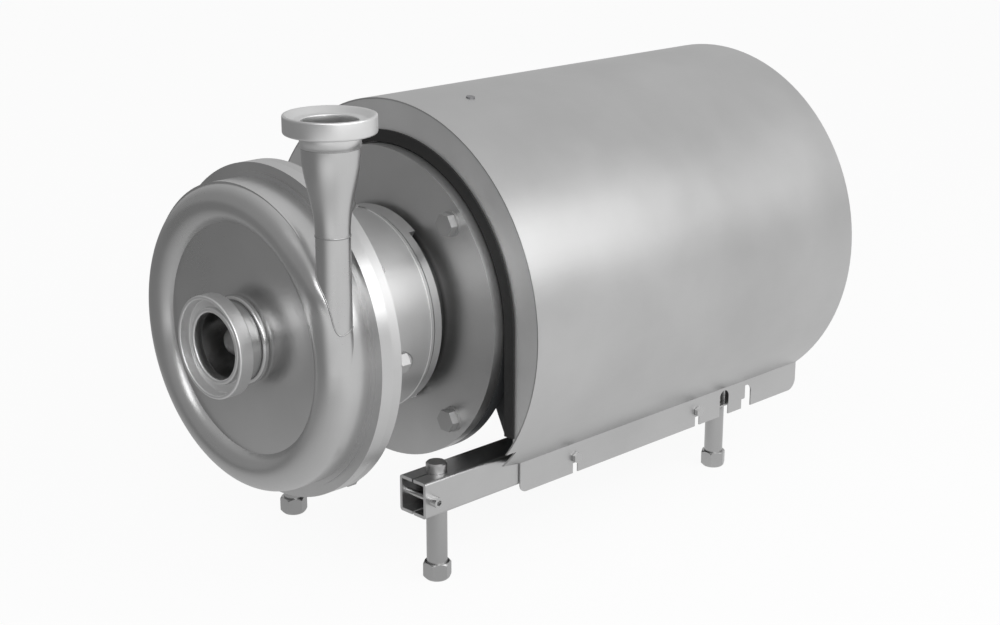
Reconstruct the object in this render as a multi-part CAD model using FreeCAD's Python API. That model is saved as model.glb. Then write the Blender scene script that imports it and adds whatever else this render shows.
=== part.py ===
import FreeCAD, Part
import math
import os

os.makedirs("parts", exist_ok=True)

V = FreeCAD.Vector

# Close-coupled sanitary centrifugal pump with a shrouded flange motor on four adjustable legs.
# Everything is drawn about the shaft: x to the side, a along the shaft and z up, with a = 0 at
# the motor's flange face and negative a towards the inlet. save() lifts it onto the floor.

# Heights and the legs
SHAFT_HEIGHT = 239.0        # shaft axis above the floor
MOTOR_FOOT_HEIGHT = 132.0   # shaft axis above the motor's feet, frame size 132
BAR_SIDE = 35.0             # square tube under the motor's feet
BAR_WALL = 3.0
BAR_PITCH = 216.0           # between the two bars, the motor's foot spacing
BAR_FRONT = -74.6
BAR_REAR = 386.8
LEG_R = 9.8
LEG_FRONT_A = -45.5
LEG_REAR_A = 357.7
LEG_ABOVE_BAR = 9.3
LEG_TIP_CHAMFER = 1.2
LEG_CLEARANCE = 0.3
LEG_SOCKET_DEPTH = 10.0
BAR_SLIT = 2.0
BAR_EDGE_R = 2.7
FOOT_FLATS = 23.5
FOOT_HEIGHT = 17.0
FOOT_SOLE_R = 10.5
FOOT_TAPER = 3.0
FOOT_CROWN = 2.0
CLAMP_SCREW_FRONT_A = -67.0
CLAMP_SCREW_REAR_A = 379.0
CLAMP_SCREW_R = 3.0
CLAMP_HEAD_R = 5.0
CLAMP_HEAD_HEIGHT = 10.0
CLAMP_HEAD_SOCKET = 5.0
CLAMP_SOCKET_DEPTH = 5.0

# Adaptor between pump and motor
FLANGE_R = 150.0            # motor flange and adaptor disc, 300 mm
FLANGE_BOLT_R = 132.5       # 265 mm bolt circle
FLANGE_SPIGOT_R = 115.0
FLANGE_SPIGOT = 4.0
ADAPTOR_DISC = 12.0
ADAPTOR_NECK = 14.0
ADAPTOR_NECK_R = 82.0
ADAPTOR_RIM = 10.6
ADAPTOR_GROOVE = 2.4       # behind the guards
ADAPTOR_GROOVE_DEPTH = 2.0
LANTERN_R = 95.6
LANTERN_WALL = 10.0
LANTERN_LENGTH = 88.4
ADAPTOR_WEB_R = 60.0
ADAPTOR_WEB = 6.0
BRIDGE_ANGLE = 57.0         # the bridges start this far above and below the horizontal
GUARD_ANGLE = 86.0          # each guard's half angle
BRIDGE_REACH = 7.4
WINDOW_ANGLE = 33.0
WINDOW_MARGIN = 9.0
GUARD_SHEET = 1.3
GUARD_GAP = 0.1
GUARD_SCREW_ANGLE = 38.0
GUARD_SCREW_R = 2.0
GUARD_SCREW_HEAD_R = 3.6
GUARD_SCREW_HEAD = 1.6
GUARD_SCREW_DEPTH = 6.0

# Pump casing
CLAMP_RING = 9.5            # the adaptor's front flange
CASING_FLANGE = 12.5
CASING_FLANGE_R = 154.0
CASING_LIP = 3.0
CASING_LIP_R = 145.5
BULGE_R = 122.7             # circle through the middle of the bulge
BULGE_TUBE_R = 18.5
BULGE_BEHIND_FLANGE = 24.1  # casing flange front to the bulge's middle plane
CASING_WALL = 4.0
FRONT_DISC_STEP = 3.4
FRONT_DISC_EDGE = 1.0
FRONT_GROOVE = 1.8
FRONT_GROOVE_DEPTH = 1.5
VOLUTE_EDGE_A = 7.0         # the volute's start edge stands this far before the bulge's middle
VOLUTE_EDGE_PROUD = 0.4
VOLUTE_EDGE_SHIFT = 3.0
VOLUTE_EDGE_ANGLE = 110.0
LEDGE_WIDTH = 5.5
BACK_PLATE = 5.5
BACK_PLATE_CLEARANCE = 0.2
O_RING_R = 1.25
STUD_COUNT = 6
STUD_R = 5.0
STUD_CIRCLE_R = 145.0
STUD_DEPTH = 9.0
STUD_BEYOND_RING = 12.0
STUD_HOLE_CLEARANCE = 0.5
CAP_NUT_FLATS = 17.0
CAP_NUT_HEX = 9.5
CAP_NUT_HEIGHT = 18.0
CAP_NUT_DOME_INSET = 0.3

# Inlet, 63.5 mm tube size
INLET_BORE_R = 30.2
INLET_NECK_R = 36.0
INLET_SHOULDER = 8.0
INLET_NECK = 25.3           # front disc to the union's back
INLET_UNION_R = 46.7
INLET_UNION = 14.6
INLET_UNION_BACK = 4.2
INLET_UNION_WALL = 3.6
INLET_RIM_R = 35.0
INLET_RIM_INSET = 5.4
UNION_EDGE = 1.0

# Outlet, 51 mm tube size
OUTLET_X = 124.0
OUTLET_BEHIND_FLANGE = 25.0
STUB_R = 14.8
STUB_WALL = 1.8
STUB_TOP = 118.0            # above the shaft axis
REDUCER_LENGTH = 75.0
REDUCER_TOP_R = 24.6
REDUCER_PULL = 0.42         # how far each end of the reducer runs straight
OUTLET_BORE_R = 23.9
OUTLET_NECK_R = 25.5
OUTLET_NECK = 11.0
OUTLET_UNION_R = 39.0
OUTLET_UNION = 15.7
OUTLET_UNION_WALL = 2.6
OUTLET_RECESS = 5.0
OUTLET_SEAT_R = 30.0

# Pump rotor and seal
MOTOR_SHAFT_R = 19.0        # 38 mm shaft end
MOTOR_SHAFT_END = 80.0
SHAFT_END_CHAMFER = 1.0
PUMP_SHAFT_R = 17.5
PUMP_SPIGOT_R = 12.0
SHAFT_SLEEVE_R = 27.0
SHAFT_SLEEVE = 38.0
SHAFT_END_GAP = 4.0
IMPELLER_R = 100.0
IMPELLER_DISC = 5.0
IMPELLER_BACK_GAP = 3.0
IMPELLER_FRONT_GAP = 1.0
IMPELLER_HUB_R = 22.0
IMPELLER_HUB = 24.0
BLADE_COUNT = 6
BLADE_ROOT_R = 29.0
BLADE_THICKNESS = 4.0
BLADE_SWEEP = 62.0
BLADE_SWEEP_HALFWAY = 0.42
IMPELLER_NUT_FLATS = 32.0
IMPELLER_NUT = 20.0
IMPELLER_NUT_NOSE_R = 15.0
SPIGOT_IN_NUT = 12.0
SEAL_SEAT_R = 27.0
SEAL_SEAT = 7.0
SEAL_RING_R = 25.0
SEAL_RING = 6.0
SEAL_FACE_GAP = 0.1
SEAL_BELLOWS = 14.8
SEAL_BELLOWS_FOLDS = 3
SEAL_FOLD_DEPTH = 3.0
SEAL_DRIVE_R = 28.0
SEAL_DRIVE = 8.0
SHAFT_CLEARANCE = 0.3
COUPLING_RING_R = 46.0
COUPLING_RING = 12.0
COUPLING_GAP = 4.0
COUPLING_SCREW_COUNT = 6
COUPLING_SCREW_R = 3.0
COUPLING_SCREW_CIRCLE_R = 37.0
COUPLING_HEAD_R = 5.0
COUPLING_HEAD = 4.0

# Motor
MOTOR_FLANGE = 13.0
SHIELD_LENGTH = 22.0
SHIELD_WALL = 8.0
FRAME_BORE_R = 108.0
FRAME_WALL = 5.0
SHIELD_BEYOND_FRAME = 3.0
FIN_HEIGHT = 10.0
FIN_TIP_TAPER = 0.7
FIN_COUNT = 36
FIN_THICKNESS = 3.0
FOOT_FRONT_A = 89.0         # flange face to the first foot hole
FOOT_SPACING = 178.0
FOOT_INNER_X = 84.0
FOOT_OUTER_X = 124.0
FOOT_PAD = 12.0
FOOT_PAD_LENGTH = 48.0
FOOT_RIB = 8.0
FOOT_RIB_INSET = 4.0
FOOT_RIB_ANGLE = 25.0
FOOT_HOLE_CLEARANCE = 1.0
FRAME_BEYOND_FEET = 12.0
FOOT_BOLT_R = 5.0
FOOT_BOLT_FLATS = 17.0
FOOT_BOLT_HEAD = 6.4
FOOT_BOLT_REACH = 6.0
REAR_SHIELD = 17.0
BEARING_R = 40.0
BEARING_BORE_R = 20.0
BEARING_WIDTH = 18.0
BEARING_RACE = 7.0
BEARING_SHIELD = 1.5
BEARING_HUB_WALL = 10.0
FRONT_BEARING_A = 12.0
LIP_SEAL_A = 3.0
LIP_SEAL = 7.0
LIP_SEAL_R = 29.0
SHAFT_BODY_R = 26.0
ROTOR_CORE_R = 68.0
AIR_GAP = 1.0
CORE_LENGTH = 170.0
WINDING_OVERHANG = 24.0
WINDING_INNER_R = 74.0
WINDING_OUTER_R = 100.0
WINDING_BEVEL = 5.0
SHAFT_TAIL = 64.0
FAN_R = 104.0
FAN_HUB_R = 26.0
FAN_WIDTH = 34.0
FAN_DISC = 4.0
FAN_DISC_INSET = 20.0
FAN_BLADES = 7
FAN_BLADE_THICKNESS = 4.0
FAN_STANDOFF = 20.0
COWL_SHEET = 1.5
COWL_OVERLAP = 12.0
COWL_LENGTH = 127.0
GRILLE_RINGS = 5
GRILLE_BAR = 4.0
GRILLE_SPOKES = 4
GRILLE_SPOKE = 8.0
GRILLE_HUB_R = 20.0
COWL_SCREW_R = 2.5
COWL_SCREW_HEAD_R = 4.5
COWL_SCREW_HEAD = 3.0
COWL_SCREW_COUNT = 4

# Terminal box on top of the motor
BOX_SIDE = 104.0
BOX_FRONT_A = 118.0
BOX_BASE_Z = 120.0
BOX_HEIGHT = 36.0
BOX_WALL = 4.0
BOX_LID = 10.0
BOX_PAD_MARGIN = 12.0
BOX_PAD_SINK = 10.0
BOX_LID_EDGE = 3.3
GLAND_R = 11.0
GLAND_THREAD_R = 9.0
GLAND_LENGTH = 14.0
GLAND_NUT_FLATS = 27.0
GLAND_NUT = 6.0
GLAND_SPACING = 44.0
GLAND_HOLE_R = 7.0
LID_SCREW_R = 2.0
LID_SCREW_HEAD_R = 3.5
LID_SCREW_HEAD = 2.5
LID_SCREW_INSET = 8.0
LID_SCREW_DEPTH = 16.0

# Shroud over the motor
SHROUD_R = 192.5
SHROUD_SHEET = 1.5
SHROUD_FRONT = 1.0
SHROUD_LENGTH = 472.0
SKIRT_GAP = 0.5             # between bar and skirt
SKIRT_DROP = 175.0          # skirt's lower edge below the shaft axis
LIFT_GAP = 0.8              # the lifted shroud clears the motor's flange by this
CORNER_DROP = 137.0
CORNER_END_A = 44.0
SKIRT_FRONT_RADIUS = 8.0
SKIRT_REAR_RADIUS = 12.0
PLATE_RIM = 31.5            # end plate between the arch and the opening
TRIM_GRIP = 2.0
TRIM_WIDTH = 9.5
TRIM_LIP = 2.0
TRIM_DROP = 98.0
SHROUD_BOLT_A = (120.0, 305.0)
SHROUD_BOLT_DROP = 159.0
SHROUD_BOLT_R = 3.0
SHROUD_BOLT_FLATS = 10.0
SHROUD_BOLT_HEAD = 4.0
SHROUD_BOLT_HEAD_GAP = 0.3
BOLT_SLOT_WIDTH = 7.0
REAR_SLOTS = ((349.0, 14.6, 147.0), (386.5, 16.0, 150.0))   # place, width, depth of the top
PLUG_X = 32.6
PLUG_A = 69.9
PLUG_HOLE_R = 3.0
PLUG_HEAD_R = 4.2
PLUG_HEAD = 1.0
CUT_BEYOND = 1.0            # cutters run this far past the sheet

# Adaptor bolts, M12
ADAPTOR_BOLT_R = 6.0
ADAPTOR_BOLT_HOLE = 0.75
ADAPTOR_BOLT_FLATS = 19.0
ADAPTOR_BOLT_HEAD = 7.5
ADAPTOR_WASHER = 2.0
ADAPTOR_WASHER_R = 12.0
ADAPTOR_NUT = 9.0

# Places along the shaft, worked out from the sizes
NECK_FRONT = -ADAPTOR_DISC - ADAPTOR_NECK
RIM_FRONT = NECK_FRONT - ADAPTOR_RIM
RING_BACK = RIM_FRONT - LANTERN_LENGTH
SEAM = RING_BACK - CLAMP_RING
FLANGE_FRONT = SEAM - CASING_FLANGE
LIP_FRONT = FLANGE_FRONT - CASING_LIP
BULGE_A = FLANGE_FRONT - BULGE_BEHIND_FLANGE
BARREL_R = BULGE_R + BULGE_TUBE_R
BARREL_BORE_R = BARREL_R - CASING_WALL
LEDGE_R = BARREL_BORE_R - LEDGE_WIDTH
FRONT_DISC_A = BULGE_A - FRONT_DISC_STEP
CAVITY_FRONT = FRONT_DISC_A + CASING_WALL
PLATE_FRONT = SEAM - BACK_PLATE
UNION_BACK = FRONT_DISC_A - INLET_NECK
UNION_FRONT = UNION_BACK - INLET_UNION
OUTLET_A = FLANGE_FRONT - OUTLET_BEHIND_FLANGE
SHAFT_TIP = -MOTOR_SHAFT_END
IMPELLER_BACK = PLATE_FRONT - IMPELLER_BACK_GAP
BLADE_BACK = IMPELLER_BACK - IMPELLER_DISC
BLADE_FRONT = CAVITY_FRONT + IMPELLER_FRONT_GAP
HUB_FRONT = IMPELLER_BACK - IMPELLER_HUB
SEAT_BACK = PLATE_FRONT + SEAL_SEAT
SEAL_FACE = SEAT_BACK + SEAL_FACE_GAP
BELLOWS_FRONT = SEAL_FACE + SEAL_RING
DRIVE_FRONT = BELLOWS_FRONT + SEAL_BELLOWS
SLEEVE_FRONT = SHAFT_TIP - SHAFT_END_GAP
SLEEVE_BACK = SLEEVE_FRONT + SHAFT_SLEEVE
FRAME_FRONT = MOTOR_FLANGE + SHIELD_LENGTH
FRAME_BACK = FOOT_FRONT_A + FOOT_SPACING + FOOT_PAD_LENGTH / 2 + FRAME_BEYOND_FEET
FRAME_R = FRAME_BORE_R + FRAME_WALL
FIN_TIP_R = FRAME_R + FIN_HEIGHT
SHIELD_R = FRAME_R + SHIELD_BEYOND_FRAME
SHIELD_BACK = FRAME_BACK + REAR_SHIELD
REAR_BEARING_A = SHIELD_BACK - BEARING_WIDTH - FLANGE_SPIGOT
CORE_FRONT = (FRAME_FRONT + FRAME_BACK - CORE_LENGTH) / 2
CORE_BACK = CORE_FRONT + CORE_LENGTH
COWL_FRONT = SHIELD_BACK - COWL_OVERLAP
COWL_BACK = COWL_FRONT + COWL_LENGTH
FAN_FRONT = SHIELD_BACK + FAN_STANDOFF
SHAFT_REAR = SHIELD_BACK + SHAFT_TAIL
SHROUD_BACK = SHROUD_FRONT + SHROUD_LENGTH
REAR_REACH = SHROUD_BACK + TRIM_LIP
OPENING_R = SHROUD_R - PLATE_RIM
TRIM_R = OPENING_R + TRIM_GRIP
TRIM_INNER_R = OPENING_R - TRIM_WIDTH
CORNER_START_A = MOTOR_FLANGE + LIFT_GAP
FLANGE_Y = -(UNION_FRONT + REAR_REACH) / 2

# Heights, worked out from the sizes
BAR_TOP = -MOTOR_FOOT_HEIGHT
BAR_BOTTOM = BAR_TOP - BAR_SIDE
BAR_MIDDLE = (BAR_TOP + BAR_BOTTOM) / 2
BAR_X = BAR_PITCH / 2
BAR_OUTER_X = BAR_X + BAR_SIDE / 2
SKIRT_INNER_X = BAR_OUTER_X + SKIRT_GAP
SKIRT_OUTER_X = SKIRT_INNER_X + SHROUD_SHEET
FOOT_Z = BAR_TOP
SIDES = {"right": 1, "left": -1}
MIDDLES = (0, 180)          # degrees, the right and the left side of the lantern
FLANGE_BOLT_TURNS = [90 * k + 45 for k in range(4)]


def save(name, *solids):
    """Write one node: its solids lifted to their place above the floor."""
    shape = solids[0] if len(solids) == 1 else Part.makeCompound(list(solids))
    shape = shape.copy()
    shape.translate(V(0, FLANGE_Y, SHAFT_HEIGHT))
    shape.exportStep("parts/" + name + ".step")


def outward(solid):
    """The same solid with its faces turned outwards."""
    if solid.Volume < 0:
        solid.reverse()
    return solid


def rod(r, start, end):
    """Round bar between two points."""
    return Part.makeCylinder(r, (end - start).Length, start, end - start)


def disc(r, front, back):
    """Disc about the shaft."""
    return rod(r, V(0, front, 0), V(0, back, 0))


def ring(outer_r, inner_r, front, back):
    """Ring about the shaft."""
    return disc(outer_r, front, back).cut(disc(inner_r, front, back))


def turned_face(face):
    """Solid of revolution about the shaft of a face drawn in x and a."""
    return outward(face.revolve(V(0, 0, 0), V(0, 1, 0), 360))


def turned(points):
    """Solid of revolution about the shaft from corners given as radius and place."""
    corners = [V(r, a, 0) for r, a in points]
    return turned_face(Part.Face(Part.makePolygon(corners + corners[:1])))


def line(start, end):
    return Part.LineSegment(start, end).toShape()


def arc(start, middle, end):
    return Part.Arc(start, middle, end).toShape()


def path(*points):
    """Straight edges through the points."""
    return [line(start, end) for start, end in zip(points, points[1:])]


def closed_face(edges):
    return Part.Face(Part.Wire(edges))


def box(x0, x1, a0, a1, z0, z1):
    return Part.makeBox(x1 - x0, a1 - a0, z1 - z0, V(x0, a0, z0))


def prism(flats, height, base, direction):
    """Hexagon bar standing on base and pointing along direction."""
    corner_r = flats / math.sqrt(3)
    turns = [math.radians(60 * k) for k in range(6)]
    corners = [V(corner_r * math.cos(t), corner_r * math.sin(t), 0) for t in turns]
    solid = Part.Face(Part.makePolygon(corners + corners[:1])).extrude(V(0, 0, height))
    solid.Placement = FreeCAD.Placement(base, FreeCAD.Rotation(V(0, 0, 1), direction))
    return solid


def hex_bolt(r, flats, head, length, seat, direction):
    """Bolt whose head sits on seat and whose shank runs along direction."""
    shank = rod(r, seat, seat + direction * length)
    return shank.fuse(prism(flats, head, seat - direction * head, direction)).removeSplitter()


def around(r, degrees, a):
    """Point on a circle about the shaft, counted from +x towards +z."""
    t = math.radians(degrees)
    return V(r * math.cos(t), a, r * math.sin(t))


def spun(solid, degrees):
    """Copy of a solid turned about the shaft from +x towards +z."""
    copy = solid.copy()
    copy.rotate(V(0, 0, 0), V(0, -1, 0), degrees)
    return copy


def wedge(r, front, back, middle, half_angle):
    """Sector of a disc about the shaft, half_angle to each side of middle."""
    edges = [
        line(V(0, front, 0), around(r, middle - half_angle, front)),
        arc(around(r, middle - half_angle, front), around(r, middle, front),
            around(r, middle + half_angle, front)),
        line(around(r, middle + half_angle, front), V(0, front, 0)),
    ]
    return outward(closed_face(edges).extrude(V(0, back - front, 0)))


# Pump casing

def cavity():
    """The space inside the casing, with the round channel in front of the barrel."""
    inner_r = BULGE_TUBE_R - CASING_WALL
    start = V(BULGE_R - inner_r, BULGE_A, 0)
    end = V(BULGE_R + inner_r, BULGE_A, 0)
    edges = path(V(0, PLATE_FRONT, 0), V(0, CAVITY_FRONT, 0), V(start.x, CAVITY_FRONT, 0), start)
    edges.append(arc(start, V(BULGE_R, BULGE_A - inner_r, 0), end))
    edges += path(end, V(end.x, FLANGE_FRONT, 0), V(LEDGE_R, FLANGE_FRONT, 0),
                  V(LEDGE_R, PLATE_FRONT, 0), V(0, PLATE_FRONT, 0))
    return turned_face(closed_face(edges))


def casing_body():
    """Casing blank: flange, lip, barrel, bulge, recessed front disc and inlet neck."""
    bulge_out = V(BARREL_R, BULGE_A, 0)
    groove_a = FRONT_DISC_A + FRONT_GROOVE_DEPTH
    bulge_in = V(BULGE_R - math.sqrt(BULGE_TUBE_R ** 2 - (BULGE_A - groove_a) ** 2), groove_a, 0)
    groove_r = bulge_in.x - FRONT_GROOVE
    shoulder_out = V(INLET_NECK_R + INLET_SHOULDER, FRONT_DISC_A, 0)
    shoulder_in = V(INLET_NECK_R, FRONT_DISC_A - INLET_SHOULDER, 0)
    bend = INLET_SHOULDER * (1 - math.sqrt(0.5))
    edges = path(V(0, SEAM, 0), V(CASING_FLANGE_R, SEAM, 0), V(CASING_FLANGE_R, FLANGE_FRONT, 0),
                 V(CASING_LIP_R, FLANGE_FRONT, 0), V(CASING_LIP_R, LIP_FRONT, 0),
                 V(BARREL_R, LIP_FRONT, 0), bulge_out)
    edges.append(arc(bulge_out, V(BULGE_R, BULGE_A - BULGE_TUBE_R, 0), bulge_in))
    edges += path(bulge_in, V(groove_r, groove_a, 0), V(groove_r, FRONT_DISC_A + FRONT_DISC_EDGE, 0),
                  V(groove_r - FRONT_DISC_EDGE, FRONT_DISC_A, 0), shoulder_out)
    edges.append(arc(shoulder_out, V(INLET_NECK_R + bend, FRONT_DISC_A - bend, 0), shoulder_in))
    edges += path(shoulder_in, V(INLET_NECK_R, UNION_BACK, 0), V(0, UNION_BACK, 0), V(0, SEAM, 0))
    return turned_face(closed_face(edges))


def volute_edge():
    """Band set off centre, so that its front edge shows only where the volute begins."""
    r = BARREL_R + VOLUTE_EDGE_PROUD - VOLUTE_EDGE_SHIFT
    band = disc(r, BULGE_A - VOLUTE_EDGE_A, FLANGE_FRONT)
    band.translate(around(VOLUTE_EDGE_SHIFT, VOLUTE_EDGE_ANGLE, 0))
    return band


def pump_casing():
    """Volute casing with its outlet stub leaving along the tangent."""
    space = cavity()
    foot = V(OUTLET_X, OUTLET_A, 0)
    top = V(OUTLET_X, OUTLET_A, STUB_TOP)
    casing = casing_body().fuse(volute_edge()).fuse(rod(STUB_R, foot, top))
    casing = casing.cut(space)
    casing = casing.cut(rod(STUB_R - STUB_WALL, foot, top))
    casing = casing.cut(disc(INLET_BORE_R, UNION_BACK, CAVITY_FRONT))
    casing = casing.cut(disc(BARREL_BORE_R, PLATE_FRONT, SEAM))
    casing = casing.cut(o_ring_groove())
    for k in range(STUD_COUNT):
        mouth = around(STUD_CIRCLE_R, 360 / STUD_COUNT * k, SEAM)
        casing = casing.cut(rod(STUD_R, mouth - V(0, STUD_DEPTH, 0), mouth))
    return casing


def o_ring_groove():
    middle = (LEDGE_R + BARREL_BORE_R) / 2
    return ring(middle + O_RING_R, middle - O_RING_R, PLATE_FRONT - 2 * O_RING_R, PLATE_FRONT)


def casing_o_ring():
    middle = (LEDGE_R + BARREL_BORE_R) / 2
    return Part.makeTorus(middle, O_RING_R, V(0, PLATE_FRONT - O_RING_R, 0), V(0, 1, 0))


def inlet_union():
    """Liner union: a plain ring round an inner rim that seats the gasket."""
    ring_inner_r = INLET_UNION_R - INLET_UNION_WALL
    recess = UNION_BACK - INLET_UNION_BACK
    rim = UNION_FRONT + INLET_RIM_INSET
    return turned([
        (INLET_BORE_R, UNION_BACK), (INLET_UNION_R - UNION_EDGE, UNION_BACK),
        (INLET_UNION_R, UNION_BACK - UNION_EDGE), (INLET_UNION_R, UNION_FRONT + UNION_EDGE),
        (INLET_UNION_R - UNION_EDGE, UNION_FRONT), (ring_inner_r, UNION_FRONT),
        (ring_inner_r, recess), (INLET_RIM_R, recess),
        (INLET_RIM_R, rim), (INLET_BORE_R, rim),
    ])


def upright(edges):
    """Solid of revolution about the outlet's axis of a face drawn in x and z."""
    solid = outward(closed_face(edges).revolve(V(0, 0, 0), V(0, 0, 1), 360))
    solid.translate(V(OUTLET_X, OUTLET_A, 0))
    return solid


def s_curve(r0, z0, r1, z1):
    """Smooth widening from one radius to another, upright at both ends."""
    pull = REDUCER_PULL * (z1 - z0)
    curve = Part.BezierCurve()
    curve.setPoles([V(r0, 0, z0), V(r0, 0, z0 + pull), V(r1, 0, z1 - pull), V(r1, 0, z1)])
    return curve.toShape()


REDUCER_TOP = STUB_TOP + REDUCER_LENGTH
OUTLET_RING_BASE = REDUCER_TOP + OUTLET_NECK
OUTLET_TOP = OUTLET_RING_BASE + OUTLET_UNION


def outlet_reducer():
    """Widening pipe from the stub to the tube size of the outlet."""
    bottom_r = STUB_R - STUB_WALL
    edges = [
        s_curve(STUB_R, STUB_TOP, REDUCER_TOP_R, REDUCER_TOP),
        line(V(REDUCER_TOP_R, 0, REDUCER_TOP), V(REDUCER_TOP_R - STUB_WALL, 0, REDUCER_TOP)),
        s_curve(bottom_r, STUB_TOP, REDUCER_TOP_R - STUB_WALL, REDUCER_TOP),
        line(V(bottom_r, 0, STUB_TOP), V(STUB_R, 0, STUB_TOP)),
    ]
    return upright(edges)


def outlet_union():
    """Union on the outlet: neck, plain ring and a recess with a seat for the gasket."""
    wall_r = OUTLET_UNION_R - OUTLET_UNION_WALL
    seat = OUTLET_TOP - OUTLET_RECESS
    corners = [
        (OUTLET_BORE_R, REDUCER_TOP), (OUTLET_NECK_R, REDUCER_TOP),
        (OUTLET_NECK_R, OUTLET_RING_BASE), (OUTLET_UNION_R - UNION_EDGE, OUTLET_RING_BASE),
        (OUTLET_UNION_R, OUTLET_RING_BASE + UNION_EDGE), (OUTLET_UNION_R, OUTLET_TOP - UNION_EDGE),
        (OUTLET_UNION_R - UNION_EDGE, OUTLET_TOP), (wall_r, OUTLET_TOP),
        (OUTLET_SEAT_R, seat), (OUTLET_BORE_R, seat),
    ]
    points = [V(r, 0, z) for r, z in corners]
    return upright(path(*points, points[0]))


def back_plate():
    """Plate that closes the casing behind the impeller and holds the seal's seat."""
    plate_r = BARREL_BORE_R - BACK_PLATE_CLEARANCE
    boss_r = SEAL_SEAT_R + BACK_PLATE
    return turned([
        (SEAL_SEAT_R, PLATE_FRONT), (plate_r, PLATE_FRONT), (plate_r, SEAM),
        (boss_r, SEAM), (boss_r, SEAT_BACK), (SEAL_SEAT_R, SEAT_BACK),
    ])


def cap_nut(base):
    """Dome nut with a blind thread hole."""
    back = V(0, 1, 0)
    dome_r = CAP_NUT_FLATS / 2 - CAP_NUT_DOME_INSET
    dome_centre = base + back * (CAP_NUT_HEIGHT - dome_r)
    nut = prism(CAP_NUT_FLATS, CAP_NUT_HEX, base, back)
    nut = nut.fuse(rod(dome_r, base + back * CAP_NUT_HEX / 2, dome_centre))
    nut = nut.fuse(Part.makeSphere(dome_r, dome_centre))
    nut = nut.cut(rod(STUD_R, base, base + back * STUD_BEYOND_RING))
    return nut.removeSplitter()


def save_casing():
    save("pump_casing", pump_casing())
    save("inlet_union", inlet_union())
    save("outlet_reducer", outlet_reducer())
    save("outlet_union", outlet_union())
    save("back_plate", back_plate())
    save("casing_o_ring", casing_o_ring())
    save("seal_seat", ring(SEAL_SEAT_R, PUMP_SHAFT_R + SHAFT_CLEARANCE, PLATE_FRONT, SEAT_BACK))
    places = [around(STUD_CIRCLE_R, 360 / STUD_COUNT * k, 0) for k in range(STUD_COUNT)]
    start = V(0, SEAM - STUD_DEPTH, 0)
    end = V(0, RING_BACK + STUD_BEYOND_RING, 0)
    save("casing_studs", *[rod(STUD_R, p + start, p + end) for p in places])
    save("cap_nuts", *[cap_nut(p + V(0, RING_BACK, 0)) for p in places])


# Adaptor and guards

def adaptor():
    """Cast lantern that carries the casing on the motor's flange."""
    bore_r = LANTERN_R - LANTERN_WALL
    web_front = RIM_FRONT + ADAPTOR_RIM - ADAPTOR_WEB
    spigot = -FLANGE_SPIGOT
    body = turned([
        (bore_r, SEAM), (CASING_FLANGE_R, SEAM), (CASING_FLANGE_R, RING_BACK),
        (LANTERN_R, RING_BACK), (LANTERN_R, RIM_FRONT), (LANTERN_R - ADAPTOR_GROOVE_DEPTH, RIM_FRONT),
        (LANTERN_R - ADAPTOR_GROOVE_DEPTH, RIM_FRONT + ADAPTOR_GROOVE),
        (LANTERN_R, RIM_FRONT + ADAPTOR_GROOVE), (LANTERN_R, NECK_FRONT), (ADAPTOR_NECK_R, NECK_FRONT),
        (ADAPTOR_NECK_R, -ADAPTOR_DISC), (FLANGE_R, -ADAPTOR_DISC), (FLANGE_R, 0),
        (FLANGE_SPIGOT_R, 0), (FLANGE_SPIGOT_R, spigot), (ADAPTOR_WEB_R, spigot),
        (ADAPTOR_WEB_R, web_front), (bore_r, web_front),
    ])
    for side in SIDES.values():
        bridge = ring(LANTERN_R, ADAPTOR_NECK_R, NECK_FRONT, NECK_FRONT + BRIDGE_REACH)
        half = 90 - BRIDGE_ANGLE
        reach = wedge(2 * LANTERN_R, NECK_FRONT, NECK_FRONT + BRIDGE_REACH, 90 * side, half)
        body = body.fuse(bridge.common(reach))
    for middle in MIDDLES:
        window = wedge(2 * LANTERN_R, RING_BACK + WINDOW_MARGIN, RIM_FRONT - WINDOW_MARGIN,
                       middle, WINDOW_ANGLE)
        body = body.cut(window.cut(disc(ADAPTOR_WEB_R, RING_BACK, RIM_FRONT)))
    for k in range(STUD_COUNT):
        mouth = around(STUD_CIRCLE_R, 360 / STUD_COUNT * k, SEAM)
        body = body.cut(rod(STUD_R + STUD_HOLE_CLEARANCE, mouth, mouth + V(0, CLAMP_RING, 0)))
    for degrees in FLANGE_BOLT_TURNS:
        mouth = around(FLANGE_BOLT_R, degrees, -ADAPTOR_DISC)
        hole_r = ADAPTOR_BOLT_R + ADAPTOR_BOLT_HOLE
        body = body.cut(rod(hole_r, mouth, mouth + V(0, ADAPTOR_DISC, 0)))
    for place, direction in guard_screw_places():
        body = body.cut(rod(GUARD_SCREW_R, place, place - direction * GUARD_SCREW_DEPTH))
    return body.removeSplitter()


def guard_screw_places():
    """Where each guard screw meets the lantern, with the direction outwards."""
    middle = (RING_BACK + RIM_FRONT) / 2
    angles = [flip + sign * GUARD_SCREW_ANGLE for flip in MIDDLES for sign in (1, -1)]
    return [(around(LANTERN_R, t, middle), around(1, t, 0)) for t in angles]


def guard(middle):
    """Curved sheet over one side window of the lantern."""
    inner_r = LANTERN_R + GUARD_GAP
    sheet = ring(inner_r + GUARD_SHEET, inner_r, RING_BACK, RIM_FRONT)
    half_turn = wedge(2 * LANTERN_R, RING_BACK, RIM_FRONT, middle, GUARD_ANGLE)
    sheet = sheet.common(half_turn)
    for place, direction in guard_screw_places():
        reach = GUARD_GAP + 2 * GUARD_SHEET
        sheet = sheet.cut(rod(GUARD_SCREW_R, place, place + direction * reach))
    return sheet


def guard_screw(place, direction):
    head_base = place + direction * (GUARD_GAP + GUARD_SHEET)
    shank = rod(GUARD_SCREW_R, place - direction * GUARD_SCREW_DEPTH, head_base)
    return shank.fuse(rod(GUARD_SCREW_HEAD_R, head_base, head_base + direction * GUARD_SCREW_HEAD))


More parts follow.
